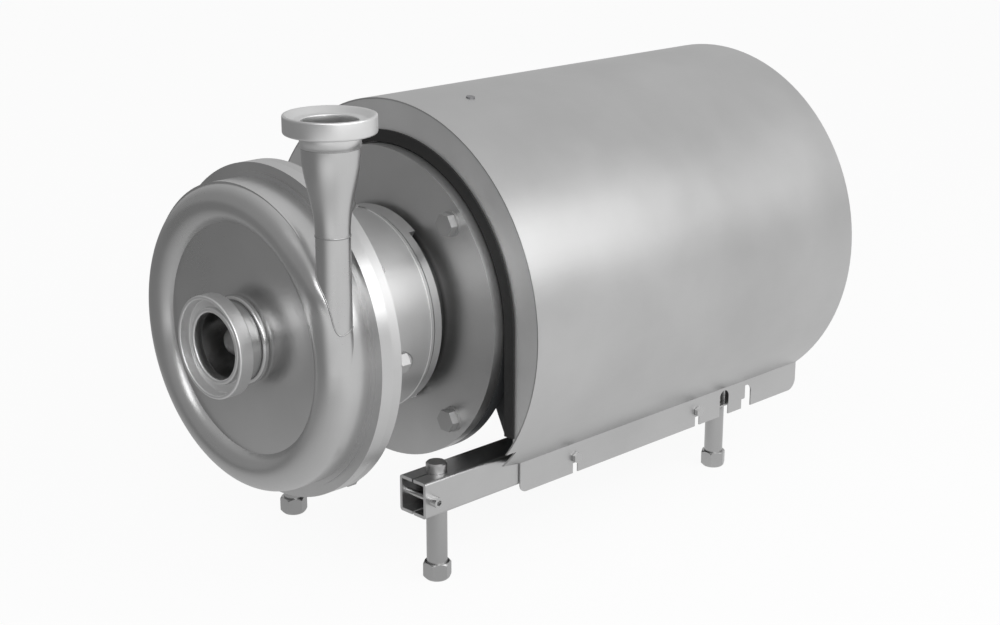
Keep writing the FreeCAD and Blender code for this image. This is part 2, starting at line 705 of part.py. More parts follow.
def adaptor_bolt(degrees):
    """Flange bolt with its washer under the head."""
    seat = around(FLANGE_BOLT_R, degrees, -ADAPTOR_DISC - ADAPTOR_WASHER)
    length = ADAPTOR_WASHER + ADAPTOR_DISC + MOTOR_FLANGE + ADAPTOR_NUT
    return hex_bolt(ADAPTOR_BOLT_R, ADAPTOR_BOLT_FLATS, ADAPTOR_BOLT_HEAD, length, seat, V(0, 1, 0))


def adaptor_washer(degrees):
    seat = around(FLANGE_BOLT_R, degrees, -ADAPTOR_DISC)
    front = seat - V(0, ADAPTOR_WASHER, 0)
    return rod(ADAPTOR_WASHER_R, front, seat).cut(rod(ADAPTOR_BOLT_R, front, seat))


def adaptor_nut(degrees):
    seat = around(FLANGE_BOLT_R, degrees, MOTOR_FLANGE)
    nut = prism(ADAPTOR_BOLT_FLATS, ADAPTOR_NUT, seat, V(0, 1, 0))
    return nut.cut(rod(ADAPTOR_BOLT_R, seat, seat + V(0, ADAPTOR_NUT, 0)))


def save_adaptor():
    save("adaptor", adaptor())
    for name, middle in zip(SIDES, MIDDLES):
        save("guard_" + name, guard(middle))
    save("guard_screws", *[guard_screw(*screw) for screw in guard_screw_places()])
    save("adaptor_bolts", *[adaptor_bolt(t) for t in FLANGE_BOLT_TURNS])
    save("adaptor_washers", *[adaptor_washer(t) for t in FLANGE_BOLT_TURNS])
    save("adaptor_nuts", *[adaptor_nut(t) for t in FLANGE_BOLT_TURNS])


# Pump rotor

def blade_edge(side):
    """One face of an impeller blade: an arc that trails the rotation as it goes out."""
    tip_r = IMPELLER_R
    mid_r = (BLADE_ROOT_R + tip_r) / 2
    points = []
    for r, share in ((BLADE_ROOT_R, 0), (mid_r, BLADE_SWEEP_HALFWAY), (tip_r, 1)):
        half = math.degrees(BLADE_THICKNESS / 2 / r)
        points.append(around(r, -BLADE_SWEEP * share + side * half, BLADE_FRONT))
    return points


def impeller_blade():
    lower = blade_edge(-1)
    upper = blade_edge(1)
    edges = [arc(*lower), line(lower[2], upper[2]), arc(*upper), line(upper[0], lower[0])]
    return outward(closed_face(edges).extrude(V(0, BLADE_BACK - BLADE_FRONT, 0)))


def impeller():
    """Semi-open impeller with blades curved back against the rotation."""
    root_r = BLADE_ROOT_R + BLADE_THICKNESS
    wheel = turned([
        (PUMP_SPIGOT_R, IMPELLER_BACK), (IMPELLER_R, IMPELLER_BACK), (IMPELLER_R, BLADE_BACK),
        (root_r, BLADE_BACK), (IMPELLER_HUB_R, BLADE_BACK - root_r + IMPELLER_HUB_R),
        (IMPELLER_HUB_R, HUB_FRONT), (PUMP_SPIGOT_R, HUB_FRONT),
    ])
    blade = impeller_blade()
    for k in range(BLADE_COUNT):
        wheel = wheel.fuse(spun(blade, 360 / BLADE_COUNT * k))
    return wheel


def impeller_nut():
    """Hexagon nut with a round nose in the pump's eye."""
    front = V(0, -1, 0)
    base = V(0, HUB_FRONT, 0)
    nose_r = IMPELLER_NUT_NOSE_R
    nose_centre = base + front * (IMPELLER_NUT - nose_r / 2)
    nut = prism(IMPELLER_NUT_FLATS, IMPELLER_NUT / 2, base, front)
    nose = Part.makeSphere(nose_r, nose_centre).common(disc(nose_r, nose_centre.y - nose_r, HUB_FRONT))
    nut = nut.fuse(nose)
    return nut.cut(disc(PUMP_SPIGOT_R, HUB_FRONT - SPIGOT_IN_NUT, HUB_FRONT))


def pump_shaft():
    """Stub shaft with a sleeve that takes the end of the motor's shaft."""
    return turned([
        (0, HUB_FRONT - SPIGOT_IN_NUT), (PUMP_SPIGOT_R, HUB_FRONT - SPIGOT_IN_NUT),
        (PUMP_SPIGOT_R, IMPELLER_BACK), (PUMP_SHAFT_R, IMPELLER_BACK),
        (PUMP_SHAFT_R, SLEEVE_FRONT), (SHAFT_SLEEVE_R, SLEEVE_FRONT),
        (SHAFT_SLEEVE_R, SLEEVE_BACK), (MOTOR_SHAFT_R, SLEEVE_BACK),
        (MOTOR_SHAFT_R, SHAFT_TIP), (0, SHAFT_TIP),
    ])


def seal_bellows():
    """Folded rubber sleeve that pushes the turning seal ring forward."""
    pitch = SEAL_BELLOWS / (2 * SEAL_BELLOWS_FOLDS)
    outer = []
    for k in range(2 * SEAL_BELLOWS_FOLDS + 1):
        fold = SEAL_FOLD_DEPTH if k % 2 else 0
        outer.append((SEAL_RING_R - SEAL_FOLD_DEPTH + fold, BELLOWS_FRONT + pitch * k))
    return turned([(PUMP_SHAFT_R, BELLOWS_FRONT)] + outer + [(PUMP_SHAFT_R, DRIVE_FRONT)])


COUPLING_MIDDLE = (SLEEVE_FRONT + SLEEVE_BACK) / 2


def coupling_ring(inner_a, outer_a):
    """One of the two rings that squeeze the sleeve onto the motor's shaft."""
    front = min(inner_a, outer_a)
    back = max(inner_a, outer_a)
    body = ring(COUPLING_RING_R, SHAFT_SLEEVE_R, front, back)
    for k in range(COUPLING_SCREW_COUNT):
        mouth = around(COUPLING_SCREW_CIRCLE_R, 360 / COUPLING_SCREW_COUNT * k, front)
        body = body.cut(rod(COUPLING_SCREW_R, mouth, mouth + V(0, back - front, 0)))
    return body


def coupling_screw(degrees):
    half = COUPLING_GAP / 2 + COUPLING_RING
    seat = around(COUPLING_SCREW_CIRCLE_R, degrees, COUPLING_MIDDLE + half)
    front = V(0, -1, 0)
    head = rod(COUPLING_HEAD_R, seat - front * COUPLING_HEAD, seat)
    return head.fuse(rod(COUPLING_SCREW_R, seat, seat + front * 2 * half))


def save_pump_rotor():
    save("pump_shaft", pump_shaft())
    save("impeller", impeller())
    save("impeller_nut", impeller_nut())
    save("seal_ring", ring(SEAL_RING_R, PUMP_SHAFT_R, SEAL_FACE, BELLOWS_FRONT))
    save("seal_bellows", seal_bellows())
    save("seal_drive_ring", ring(SEAL_DRIVE_R, PUMP_SHAFT_R, DRIVE_FRONT, DRIVE_FRONT + SEAL_DRIVE))
    near = COUPLING_GAP / 2
    far = near + COUPLING_RING
    rings = [coupling_ring(COUPLING_MIDDLE + s * near, COUPLING_MIDDLE + s * far) for s in (-1, 1)]
    save("coupling_rings", *rings)
    turns = [360 / COUPLING_SCREW_COUNT * k for k in range(COUPLING_SCREW_COUNT)]
    save("coupling_screws", *[coupling_screw(t) for t in turns])


# Motor

def drive_end_shield():
    """Flanged end shield with the spigot, the front bearing's pocket and the lip seal."""
    hub_r = BEARING_R + BEARING_HUB_WALL
    pocket_back = FRONT_BEARING_A + BEARING_WIDTH
    shield = turned([
        (MOTOR_SHAFT_R + SHAFT_CLEARANCE, -FLANGE_SPIGOT), (FLANGE_SPIGOT_R, -FLANGE_SPIGOT),
        (FLANGE_SPIGOT_R, 0), (FLANGE_R, 0), (FLANGE_R, MOTOR_FLANGE), (SHIELD_R, MOTOR_FLANGE),
        (SHIELD_R, FRAME_FRONT), (FRAME_BORE_R, FRAME_FRONT),
        (FRAME_BORE_R, MOTOR_FLANGE), (hub_r, MOTOR_FLANGE - SHIELD_WALL / 2),
        (hub_r, pocket_back), (BEARING_R, pocket_back), (BEARING_R, FRONT_BEARING_A),
        (LIP_SEAL_R, FRONT_BEARING_A), (LIP_SEAL_R, LIP_SEAL_A),
        (MOTOR_SHAFT_R + SHAFT_CLEARANCE, LIP_SEAL_A),
    ])
    for degrees in FLANGE_BOLT_TURNS:
        mouth = around(FLANGE_BOLT_R, degrees, 0)
        hole_r = ADAPTOR_BOLT_R + ADAPTOR_BOLT_HOLE
        shield = shield.cut(rod(hole_r, mouth, mouth + V(0, MOTOR_FLANGE, 0)))
    return shield


def rear_end_shield():
    hub_r = BEARING_R + BEARING_HUB_WALL
    hub_front = REAR_BEARING_A
    pocket_back = REAR_BEARING_A + BEARING_WIDTH
    return turned([
        (BEARING_BORE_R + SHAFT_CLEARANCE, pocket_back), (BEARING_R, pocket_back),
        (BEARING_R, hub_front), (hub_r, hub_front), (hub_r, FRAME_BACK + SHIELD_WALL / 2),
        (FRAME_BORE_R, FRAME_BACK + SHIELD_WALL / 2), (FRAME_BORE_R, FRAME_BACK),
        (SHIELD_R, FRAME_BACK), (SHIELD_R, SHIELD_BACK), (BEARING_BORE_R + SHAFT_CLEARANCE, SHIELD_BACK),
    ])


def finned_tube():
    """Motor frame's barrel: one extruded outline with its cooling fins."""
    corners = []
    for k in range(FIN_COUNT):
        middle = 360 / FIN_COUNT * (k + 0.5)
        root = math.degrees(math.asin(FIN_THICKNESS / 2 / FRAME_R))
        tip = math.degrees(math.asin(FIN_THICKNESS / 2 / FIN_TIP_R)) * FIN_TIP_TAPER
        corners.append(around(FRAME_R, middle - root, FRAME_FRONT))
        corners.append(around(FIN_TIP_R, middle - tip, FRAME_FRONT))
        corners.append(around(FIN_TIP_R, middle + tip, FRAME_FRONT))
        corners.append(around(FRAME_R, middle + root, FRAME_FRONT))
    face = Part.Face(Part.makePolygon(corners + corners[:1]))
    return outward(face.extrude(V(0, FRAME_BACK - FRAME_FRONT, 0)))


def motor_foot(side, a):
    """One foot: a pad with two ribs up to the barrel and a bolt hole between them."""
    half = FOOT_PAD_LENGTH / 2
    x0, x1 = sorted((side * FOOT_INNER_X, side * FOOT_OUTER_X))
    foot = box(x0, x1, a - half, a + half, FOOT_Z, FOOT_Z + FOOT_PAD)
    reach = FRAME_R * math.sin(math.radians(FOOT_RIB_ANGLE))
    top_x = side * FRAME_R * math.cos(math.radians(FOOT_RIB_ANGLE))
    rib_x = side * (FOOT_OUTER_X - FOOT_RIB_INSET)
    for rib_a in (a - half, a + half - FOOT_RIB):
        corners = [V(side * FOOT_INNER_X, rib_a, FOOT_Z), V(rib_x, rib_a, FOOT_Z),
                   V(rib_x, rib_a, FOOT_Z + FOOT_PAD), V(top_x, rib_a, -reach),
                   V(side * FOOT_INNER_X / 2, rib_a, -reach)]
        rib = outward(Part.Face(Part.makePolygon(corners + corners[:1])).extrude(V(0, FOOT_RIB, 0)))
        foot = foot.fuse(rib)
    seat = V(side * BAR_X, a, FOOT_Z)
    return foot.cut(rod(FOOT_BOLT_R + FOOT_HOLE_CLEARANCE, seat, seat + V(0, 0, FOOT_PAD)))


def foot_places():
    return [(side, a) for side in SIDES.values() for a in (FOOT_FRONT_A, FOOT_FRONT_A + FOOT_SPACING)]


def motor_frame():
    frame = finned_tube()
    for side, a in foot_places():
        frame = frame.fuse(motor_foot(side, a))
    half = BOX_SIDE / 2 - BOX_PAD_MARGIN
    middle = BOX_FRONT_A + BOX_SIDE / 2
    pad_base = FRAME_BORE_R - BOX_PAD_SINK
    frame = frame.fuse(box(-half, half, middle - half, middle + half, pad_base, BOX_BASE_Z))
    top = box(-BOX_SIDE / 2, BOX_SIDE / 2, BOX_FRONT_A, BOX_FRONT_A + BOX_SIDE,
              BOX_BASE_Z, BOX_BASE_Z + BOX_HEIGHT)
    frame = frame.cut(top)
    return frame.cut(disc(FRAME_BORE_R, FRAME_FRONT, FRAME_BACK))


def motor_shaft():
    """One shaft from the coupling through both bearings to the fan."""
    front_seat = FRONT_BEARING_A + BEARING_WIDTH
    return turned([
        (0, SHAFT_TIP), (MOTOR_SHAFT_R - SHAFT_END_CHAMFER, SHAFT_TIP),
        (MOTOR_SHAFT_R, SHAFT_TIP + SHAFT_END_CHAMFER),
        (MOTOR_SHAFT_R, FRONT_BEARING_A), (BEARING_BORE_R, FRONT_BEARING_A),
        (BEARING_BORE_R, front_seat), (SHAFT_BODY_R, front_seat), (SHAFT_BODY_R, REAR_BEARING_A),
        (BEARING_BORE_R, REAR_BEARING_A), (BEARING_BORE_R, SHAFT_REAR), (0, SHAFT_REAR),
    ])


def winding(core_end, direction):
    """End turns of the stator winding as one bevelled ring on an end of the core."""
    tip = core_end + direction * WINDING_OVERHANG
    shoulder = tip - direction * WINDING_BEVEL
    return turned([
        (WINDING_INNER_R, core_end), (WINDING_OUTER_R, core_end), (WINDING_OUTER_R, shoulder),
        (WINDING_OUTER_R - WINDING_BEVEL, tip), (WINDING_INNER_R + WINDING_BEVEL, tip),
        (WINDING_INNER_R, shoulder),
    ])


def bearing_outer(front):
    """Outer ring of a sealed bearing with its two shields."""
    back = front + BEARING_WIDTH
    race_r = BEARING_R - BEARING_RACE
    inner_r = BEARING_BORE_R + BEARING_RACE + SHAFT_CLEARANCE
    outer = ring(BEARING_R, race_r, front, back)
    outer = outer.fuse(ring(race_r, inner_r, front, front + BEARING_SHIELD))
    return outer.fuse(ring(race_r, inner_r, back - BEARING_SHIELD, back)).removeSplitter()


def bearing_inner(front):
    race_r = BEARING_BORE_R + BEARING_RACE
    return ring(race_r, BEARING_BORE_R, front, front + BEARING_WIDTH)


def cooling_fan():
    """Radial fan: a hub, a thin disc and straight blades."""
    fan = ring(FAN_HUB_R, BEARING_BORE_R, FAN_FRONT, FAN_FRONT + FAN_WIDTH)
    fan = fan.fuse(ring(FAN_R - FAN_DISC_INSET, BEARING_BORE_R, FAN_FRONT, FAN_FRONT + FAN_DISC))
    half = FAN_BLADE_THICKNESS / 2
    blade = box(FAN_HUB_R - half, FAN_R, FAN_FRONT, FAN_FRONT + FAN_WIDTH, -half, half)
    for k in range(FAN_BLADES):
        fan = fan.fuse(spun(blade, 360 / FAN_BLADES * k))
    return fan


def fan_cowl():
    """Sheet cowl over the fan, with a grille of rings and spokes in its end."""
    outer_r = SHIELD_R + COWL_SHEET
    cowl = ring(outer_r, SHIELD_R, COWL_FRONT, COWL_BACK)
    end_front = COWL_BACK - COWL_SHEET
    end = disc(outer_r, end_front, COWL_BACK)
    step = (SHIELD_R - GRILLE_BAR - GRILLE_HUB_R) / GRILLE_RINGS
    spokes = box(-outer_r, outer_r, end_front, COWL_BACK, -GRILLE_SPOKE / 2, GRILLE_SPOKE / 2)
    turned_spokes = spokes.copy()
    for k in range(1, GRILLE_SPOKES // 2):
        turned_spokes = turned_spokes.fuse(spun(spokes, 360 / GRILLE_SPOKES * k))
    for k in range(GRILLE_RINGS):
        inner = GRILLE_HUB_R + step * k
        gap = ring(inner + step - GRILLE_BAR, inner, end_front, COWL_BACK)
        end = end.cut(gap.cut(turned_spokes))
    return cowl.fuse(end).removeSplitter()


def cowl_screw(degrees):
    a = (COWL_FRONT + SHIELD_BACK) / 2
    out = around(1, degrees, 0)
    seat = around(SHIELD_R + COWL_SHEET, degrees, a)
    head = rod(COWL_SCREW_HEAD_R, seat, seat + out * COWL_SCREW_HEAD)
    return head.fuse(rod(COWL_SCREW_R, seat - out * SHIELD_WALL, seat))


COWL_SCREW_TURNS = [360 / COWL_SCREW_COUNT * (k + 0.5) for k in range(COWL_SCREW_COUNT)]


def save_motor():
    screws = [cowl_screw(t) for t in COWL_SCREW_TURNS]
    rear_shield = rear_end_shield()
    cowl = fan_cowl()
    for screw in screws:
        rear_shield = rear_shield.cut(screw)
        cowl = cowl.cut(screw)
    save("drive_end_shield", drive_end_shield())
    save("rear_end_shield", rear_shield)
    save("motor_frame", motor_frame())
    save("stator_core", ring(FRAME_BORE_R, ROTOR_CORE_R + AIR_GAP, CORE_FRONT, CORE_BACK))
    save("stator_windings", winding(CORE_FRONT, -1), winding(CORE_BACK, 1))
    save("rotor_core", ring(ROTOR_CORE_R, SHAFT_BODY_R, CORE_FRONT, CORE_BACK))
    save("motor_shaft", motor_shaft())
    bearings = (FRONT_BEARING_A, REAR_BEARING_A)
    save("bearing_outer_rings", *[bearing_outer(a) for a in bearings])
    save("bearing_inner_rings", *[bearing_inner(a) for a in bearings])
    save("shaft_lip_seal",
         ring(LIP_SEAL_R, MOTOR_SHAFT_R + SHAFT_CLEARANCE, LIP_SEAL_A, LIP_SEAL_A + LIP_SEAL))
    save("cooling_fan", cooling_fan())
    save("fan_cowl", cowl)
    save("fan_cowl_screws", *screws)
    save("motor_foot_bolts", *[foot_bolt(side, a) for side, a in foot_places()])


def foot_bolt(side, a):
    seat = V(side * BAR_X, a, FOOT_Z + FOOT_PAD)
    length = FOOT_PAD + BAR_WALL + FOOT_BOLT_REACH
    return hex_bolt(FOOT_BOLT_R, FOOT_BOLT_FLATS, FOOT_BOLT_HEAD, length, seat, V(0, 0, -1))


# Terminal box

def lid_screw_places():
    reach = BOX_SIDE / 2 - LID_SCREW_INSET
    middle = BOX_FRONT_A + BOX_SIDE / 2
    top = BOX_BASE_Z + BOX_HEIGHT + BOX_LID
    return [V(i * reach, middle + j * reach, top) for i in (-1, 1) for j in (-1, 1)]


def lid_screw(seat):
    head = rod(LID_SCREW_HEAD_R, seat, seat + V(0, 0, LID_SCREW_HEAD))
    return head.fuse(rod(LID_SCREW_R, seat - V(0, 0, LID_SCREW_DEPTH), seat))


def gland_places():
    middle = BOX_FRONT_A + BOX_SIDE / 2
    z = BOX_BASE_Z + BOX_HEIGHT / 2
    return [V(BOX_SIDE / 2, middle + s * GLAND_SPACING / 2, z) for s in (-1, 1)]


def cable_gland(mouth):
    """Gland screwed into the box's side, open through its middle."""
    out = V(1, 0, 0)
    inner = mouth - out * BOX_WALL
    gland = rod(GLAND_THREAD_R, inner, mouth)
    gland = gland.fuse(prism(GLAND_NUT_FLATS, GLAND_NUT, mouth, out))
    gland = gland.fuse(rod(GLAND_R, mouth + out * GLAND_NUT, mouth + out * GLAND_LENGTH))
    return gland.cut(rod(GLAND_HOLE_R, inner, mouth + out * GLAND_LENGTH))


def terminal_box(screws):
    half = BOX_SIDE / 2
    back = BOX_FRONT_A + BOX_SIDE
    body = box(-half, half, BOX_FRONT_A, back, BOX_BASE_Z, BOX_BASE_Z + BOX_HEIGHT)
    inside = box(-half + BOX_WALL, half - BOX_WALL, BOX_FRONT_A + BOX_WALL, back - BOX_WALL,
                 BOX_BASE_Z + BOX_WALL, BOX_BASE_Z + BOX_HEIGHT)
    posts = []
    for place in lid_screw_places():
        foot = V(place.x, place.y, BOX_BASE_Z)
        posts.append(rod(LID_SCREW_R + BOX_WALL, foot, foot + V(0, 0, BOX_HEIGHT)))
    body = body.cut(inside)
    for post in posts:
        body = body.fuse(post)
    for mouth in gland_places():
        body = body.cut(rod(GLAND_THREAD_R, mouth - V(BOX_WALL, 0, 0), mouth))
    for screw in screws:
        body = body.cut(screw)
    return body


def save_terminal_box():
    glands = [cable_gland(mouth) for mouth in gland_places()]
    screws = [lid_screw(place) for place in lid_screw_places()]
    half = BOX_SIDE / 2
    lid_base = BOX_BASE_Z + BOX_HEIGHT
    lid = box(-half, half, BOX_FRONT_A, BOX_FRONT_A + BOX_SIDE, lid_base, lid_base + BOX_LID)
    rim = [edge for edge in lid.Edges if edge.CenterOfMass.z > lid_base + BOX_LID / 4]
    lid = lid.makeFillet(BOX_LID_EDGE, rim)
    for screw in screws:
        lid = lid.cut(screw)
    save("terminal_box", terminal_box(screws))
    save("terminal_box_lid", lid)
    save("terminal_lid_screws", *screws)
    save("cable_glands", *glands)


# Bars, legs and feet

def leg_bar(side):
    """Square tube with a slit clamp for a leg at each end."""
    x = side * BAR_X
    half = BAR_SIDE / 2
    inner = half - BAR_WALL
    bar = box(x - half, x + half, BAR_FRONT, BAR_REAR, BAR_BOTTOM, BAR_TOP)
    bar = bar.makeFillet(BAR_EDGE_R, [e for e in bar.Edges if e.BoundBox.YLength > BAR_SIDE * 2])
    bar = bar.cut(box(x - inner, x + inner, BAR_FRONT, BAR_REAR, BAR_MIDDLE - inner, BAR_MIDDLE + inner))
    for leg_a, end in ((LEG_FRONT_A, BAR_FRONT), (LEG_REAR_A, BAR_REAR)):
        bar = bar.cut(rod(LEG_R + LEG_CLEARANCE, V(x, leg_a, BAR_BOTTOM), V(x, leg_a, BAR_TOP)))
        a0, a1 = sorted((leg_a, end))
        bar = bar.cut(box(x - BAR_SLIT / 2, x + BAR_SLIT / 2, a0, a1, BAR_BOTTOM, BAR_TOP))
    for a in (CLAMP_SCREW_FRONT_A, CLAMP_SCREW_REAR_A):
        bar = bar.cut(rod(CLAMP_SCREW_R, V(x - half, a, BAR_MIDDLE), V(x + half, a, BAR_MIDDLE)))
    for a in (FOOT_FRONT_A, FOOT_FRONT_A + FOOT_SPACING):
        bar = bar.cut(rod(FOOT_BOLT_R, V(x, a, BAR_TOP - BAR_WALL), V(x, a, BAR_TOP)))
    for a in SHROUD_BOLT_A:
        outer = V(side * BAR_OUTER_X, a, -SHROUD_BOLT_DROP)
        bar = bar.cut(rod(SHROUD_BOLT_R, outer - V(side * BAR_WALL, 0, 0), outer))
    return bar.cut(spanner_window(side))


def spanner_window(side):
    """Cuts the bar's outer wall open behind the skirt's wide slot."""
    a, width, drop = REAR_SLOTS[0]
    x0, x1 = sorted((side * (BAR_OUTER_X - BAR_WALL), side * BAR_OUTER_X))
    return box(x0, x1, a - width / 2, a + width / 2, BAR_BOTTOM + BAR_WALL, -drop)


def clamp_screw(side, a, outside):
    """Pinch screw across a bar's end, its head on the outer or the inner face."""
    half = BAR_SIDE / 2
    towards = side if outside else -side
    seat = V(side * BAR_X + towards * half, a, BAR_MIDDLE)
    out = V(towards, 0, 0)
    head = rod(CLAMP_HEAD_R, seat, seat + out * CLAMP_HEAD_HEIGHT)
    tip = seat + out * CLAMP_HEAD_HEIGHT
    head = head.cut(prism(CLAMP_HEAD_SOCKET, CLAMP_SOCKET_DEPTH, tip - out * CLAMP_SOCKET_DEPTH, out))
    return head.fuse(rod(CLAMP_SCREW_R, seat - out * BAR_SIDE, seat))


def leg(side, a):
    """Round leg that slides in the bar's clamp."""
    foot = -SHAFT_HEIGHT + FOOT_HEIGHT - LEG_SOCKET_DEPTH
    rod_solid = rod(LEG_R, V(side * BAR_X, a, foot), V(side * BAR_X, a, BAR_TOP + LEG_ABOVE_BAR))
    top = [e for e in rod_solid.Edges if e.BoundBox.ZMin > BAR_TOP]
    return rod_solid.makeChamfer(LEG_TIP_CHAMFER, top)


def foot(side, a):
    """Hexagon foot on the end of a leg, tapered to its sole."""
    centre = V(side * BAR_X, a, -SHAFT_HEIGHT)
    up = V(0, 0, 1)
    body = prism(FOOT_FLATS, FOOT_HEIGHT, centre, up)
    corner_r = FOOT_FLATS / math.sqrt(3)
    taper = Part.makeCone(FOOT_SOLE_R, corner_r, FOOT_TAPER, centre, up)
    crown_base = centre + up * (FOOT_HEIGHT - FOOT_CROWN)
    middle = rod(corner_r, centre + up * FOOT_TAPER, crown_base)
    crown = Part.makeCone(corner_r, FOOT_FLATS / 2, FOOT_CROWN, crown_base, up)
    body = body.common(taper.fuse(middle).fuse(crown))
    socket_base = centre + up * (FOOT_HEIGHT - LEG_SOCKET_DEPTH)
    return body.cut(rod(LEG_R, socket_base, centre + up * FOOT_HEIGHT))


def save_legs():
    for name, side in SIDES.items():
        save("leg_bar_" + name, leg_bar(side))
        for end, a in (("front", LEG_FRONT_A), ("rear", LEG_REAR_A)):
            save("leg_" + end + "_" + name, leg(side, a))
            save("foot_" + end + "_" + name, foot(side, a))
    screws = [clamp_screw(side, CLAMP_SCREW_FRONT_A, True) for side in SIDES.values()]
    screws += [clamp_screw(side, CLAMP_SCREW_REAR_A, False) for side in SIDES.values()]
    save("leg_clamp_screws", *screws)


# Shroud

def arch(r, half_width, drop):
    """Edges over the top: up one side, round the arc and down the other side."""
    bend = math.sqrt(r * r - half_width * half_width)
    lower = V(half_width, SHROUD_FRONT, -drop)
    start = V(half_width, SHROUD_FRONT, -bend)
    end = V(-half_width, SHROUD_FRONT, -bend)
    last = V(-half_width, SHROUD_FRONT, -drop)
    return [line(lower, start), arc(start, V(0, SHROUD_FRONT, r), end), line(end, last)]


def across(face_edges):
    """Cutter through both sides from edges drawn in a and z at the left."""
    return outward(closed_face(face_edges).extrude(V(2 * SHROUD_R, 0, 0)))


def slot(a, width, drop):
    """Slot open at the skirt's lower edge, with a round top."""
    x = -SHROUD_R
    low = -SKIRT_DROP - CUT_BEYOND
    shoulder = -drop - width / 2
    left = V(x, a - width / 2, shoulder)
    right = V(x, a + width / 2, shoulder)
    edges = path(left, V(x, left.y, low), V(x, right.y, low), right)
    edges.append(arc(right, V(x, a, -drop), left))
    return across(edges)


def skirt_corner(a, direction, radius):
    """Rounds a lower corner of the skirts; direction points from the corner into the sheet."""
    x = -SHROUD_R
    bend = radius * (1 - math.sqrt(0.5))
    low = -SKIRT_DROP
    corner = V(x, a, low)
    upper = V(x, a, low + radius)
    lower = V(x, a + direction * radius, low)
    middle = V(x, a + direction * bend, low + bend)
    return across([line(corner, upper), arc(upper, middle, lower), line(lower, corner)])


def front_corner():
    """What is cut off the sheet's lower front corner, so that it lifts past the motor's flange."""
    x = -SHROUD_R
    start = -math.sqrt((SHROUD_R - SHROUD_SHEET) ** 2 - (FLANGE_R + LIFT_GAP) ** 2)
    bend = -math.sqrt(SHROUD_R ** 2 - SKIRT_OUTER_X ** 2)
    low = -SKIRT_DROP - CUT_BEYOND
    front = SHROUD_FRONT - CUT_BEYOND
    return across(path(
        V(x, front, start), V(x, CORNER_START_A, start), V(x, CORNER_START_A, -CORNER_DROP),
        V(x, CORNER_END_A, bend), V(x, CORNER_END_A, low), V(x, front, low), V(x, front, start)))


def shroud_shell():
    """Sheet arch with a straight skirt down each side."""
    outer = arch(SHROUD_R, SKIRT_OUTER_X, SKIRT_DROP)
    inner = arch(SHROUD_R - SHROUD_SHEET, SKIRT_INNER_X, SKIRT_DROP)
    edges = outer + inner
    for side in SIDES.values():
        edges.append(line(V(side * SKIRT_OUTER_X, SHROUD_FRONT, -SKIRT_DROP),
                          V(side * SKIRT_INNER_X, SHROUD_FRONT, -SKIRT_DROP)))
    face = closed_face(Part.__sortEdges__(edges))
    shell = outward(face.extrude(V(0, SHROUD_LENGTH, 0)))
    shell = shell.cut(front_corner())
    shell = shell.cut(skirt_corner(CORNER_END_A, 1, SKIRT_FRONT_RADIUS))
    shell = shell.cut(skirt_corner(SHROUD_BACK, -1, SKIRT_REAR_RADIUS))
    for a in SHROUD_BOLT_A:
        shell = shell.cut(slot(a, BOLT_SLOT_WIDTH, SHROUD_BOLT_DROP - BOLT_SLOT_WIDTH / 2))
    for a, width, drop in REAR_SLOTS:
        shell = shell.cut(slot(a, width, drop))
    return shell.cut(shroud_plug())


def shroud_plug():
    """Small rubber plug near the front of the arch."""
    outer = math.sqrt(SHROUD_R ** 2 - PLUG_X ** 2)
    normal = V(PLUG_X, 0, outer) / SHROUD_R
    surface = V(PLUG_X, PLUG_A, outer)
    stem = rod(PLUG_HOLE_R, surface - normal * 2 * SHROUD_SHEET, surface)
    return stem.fuse(rod(PLUG_HEAD_R, surface, surface + normal * PLUG_HEAD))


def u_band(outer_r, inner_r, front, back, drop):
    """U-shaped band, open at the bottom."""
    edges = []
    for r in (outer_r, inner_r):
        edges += [line(V(r, front, -drop), V(r, front, 0)),
                  arc(V(r, front, 0), V(0, front, r), V(-r, front, 0)),
                  line(V(-r, front, 0), V(-r, front, -drop))]
    for side in SIDES.values():
        edges.append(line(V(side * outer_r, front, -drop), V(side * inner_r, front, -drop)))
    face = closed_face(Part.__sortEdges__(edges))
    return outward(face.extrude(V(0, back - front, 0)))


def shroud_plate(front, back):
    """End plate inside the arch with a large U-shaped opening."""
    plate = disc(SHROUD_R - SHROUD_SHEET, front, back)
    opening = disc(OPENING_R, front, back)
    below = box(-OPENING_R, OPENING_R, front, back, -SHROUD_R, 0)
    return plate.cut(opening.fuse(below))


def edge_trim(front, back, plate):
    """Rubber trim that grips the edge of an end plate."""
    return u_band(TRIM_R, TRIM_INNER_R, front, back, TRIM_DROP).cut(plate)


def shroud_bolt(side, a):
    seat = V(side * (SKIRT_OUTER_X + SHROUD_BOLT_HEAD_GAP), a, -SHROUD_BOLT_DROP)
    length = SHROUD_BOLT_HEAD_GAP + SHROUD_SHEET + SKIRT_GAP + BAR_WALL
    return hex_bolt(SHROUD_BOLT_R, SHROUD_BOLT_FLATS, SHROUD_BOLT_HEAD, length, seat, V(-side, 0, 0))


def save_shroud():
    front_plate = shroud_plate(SHROUD_FRONT, SHROUD_FRONT + SHROUD_SHEET)
    rear_plate = shroud_plate(SHROUD_BACK - SHROUD_SHEET, SHROUD_BACK)
    save("shroud_shell", shroud_shell())
    save("shroud_plug", shroud_plug())
    save("shroud_front_plate", front_plate)
    save("shroud_rear_plate", rear_plate)
    trim_depth = SHROUD_SHEET + TRIM_LIP
    save("front_edge_trim", edge_trim(SHROUD_FRONT - TRIM_LIP, SHROUD_FRONT + trim_depth, front_plate))
    save("rear_edge_trim", edge_trim(SHROUD_BACK - trim_depth, REAR_REACH, rear_plate))
    save("shroud_bolts", *[shroud_bolt(side, a) for side in SIDES.values() for a in SHROUD_BOLT_A])


save_casing()
save_adaptor()
save_pump_rotor()
save_motor()
save_terminal_box()
save_legs()
save_shroud()
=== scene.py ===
import math

import bpy
from mathutils import Matrix, Vector


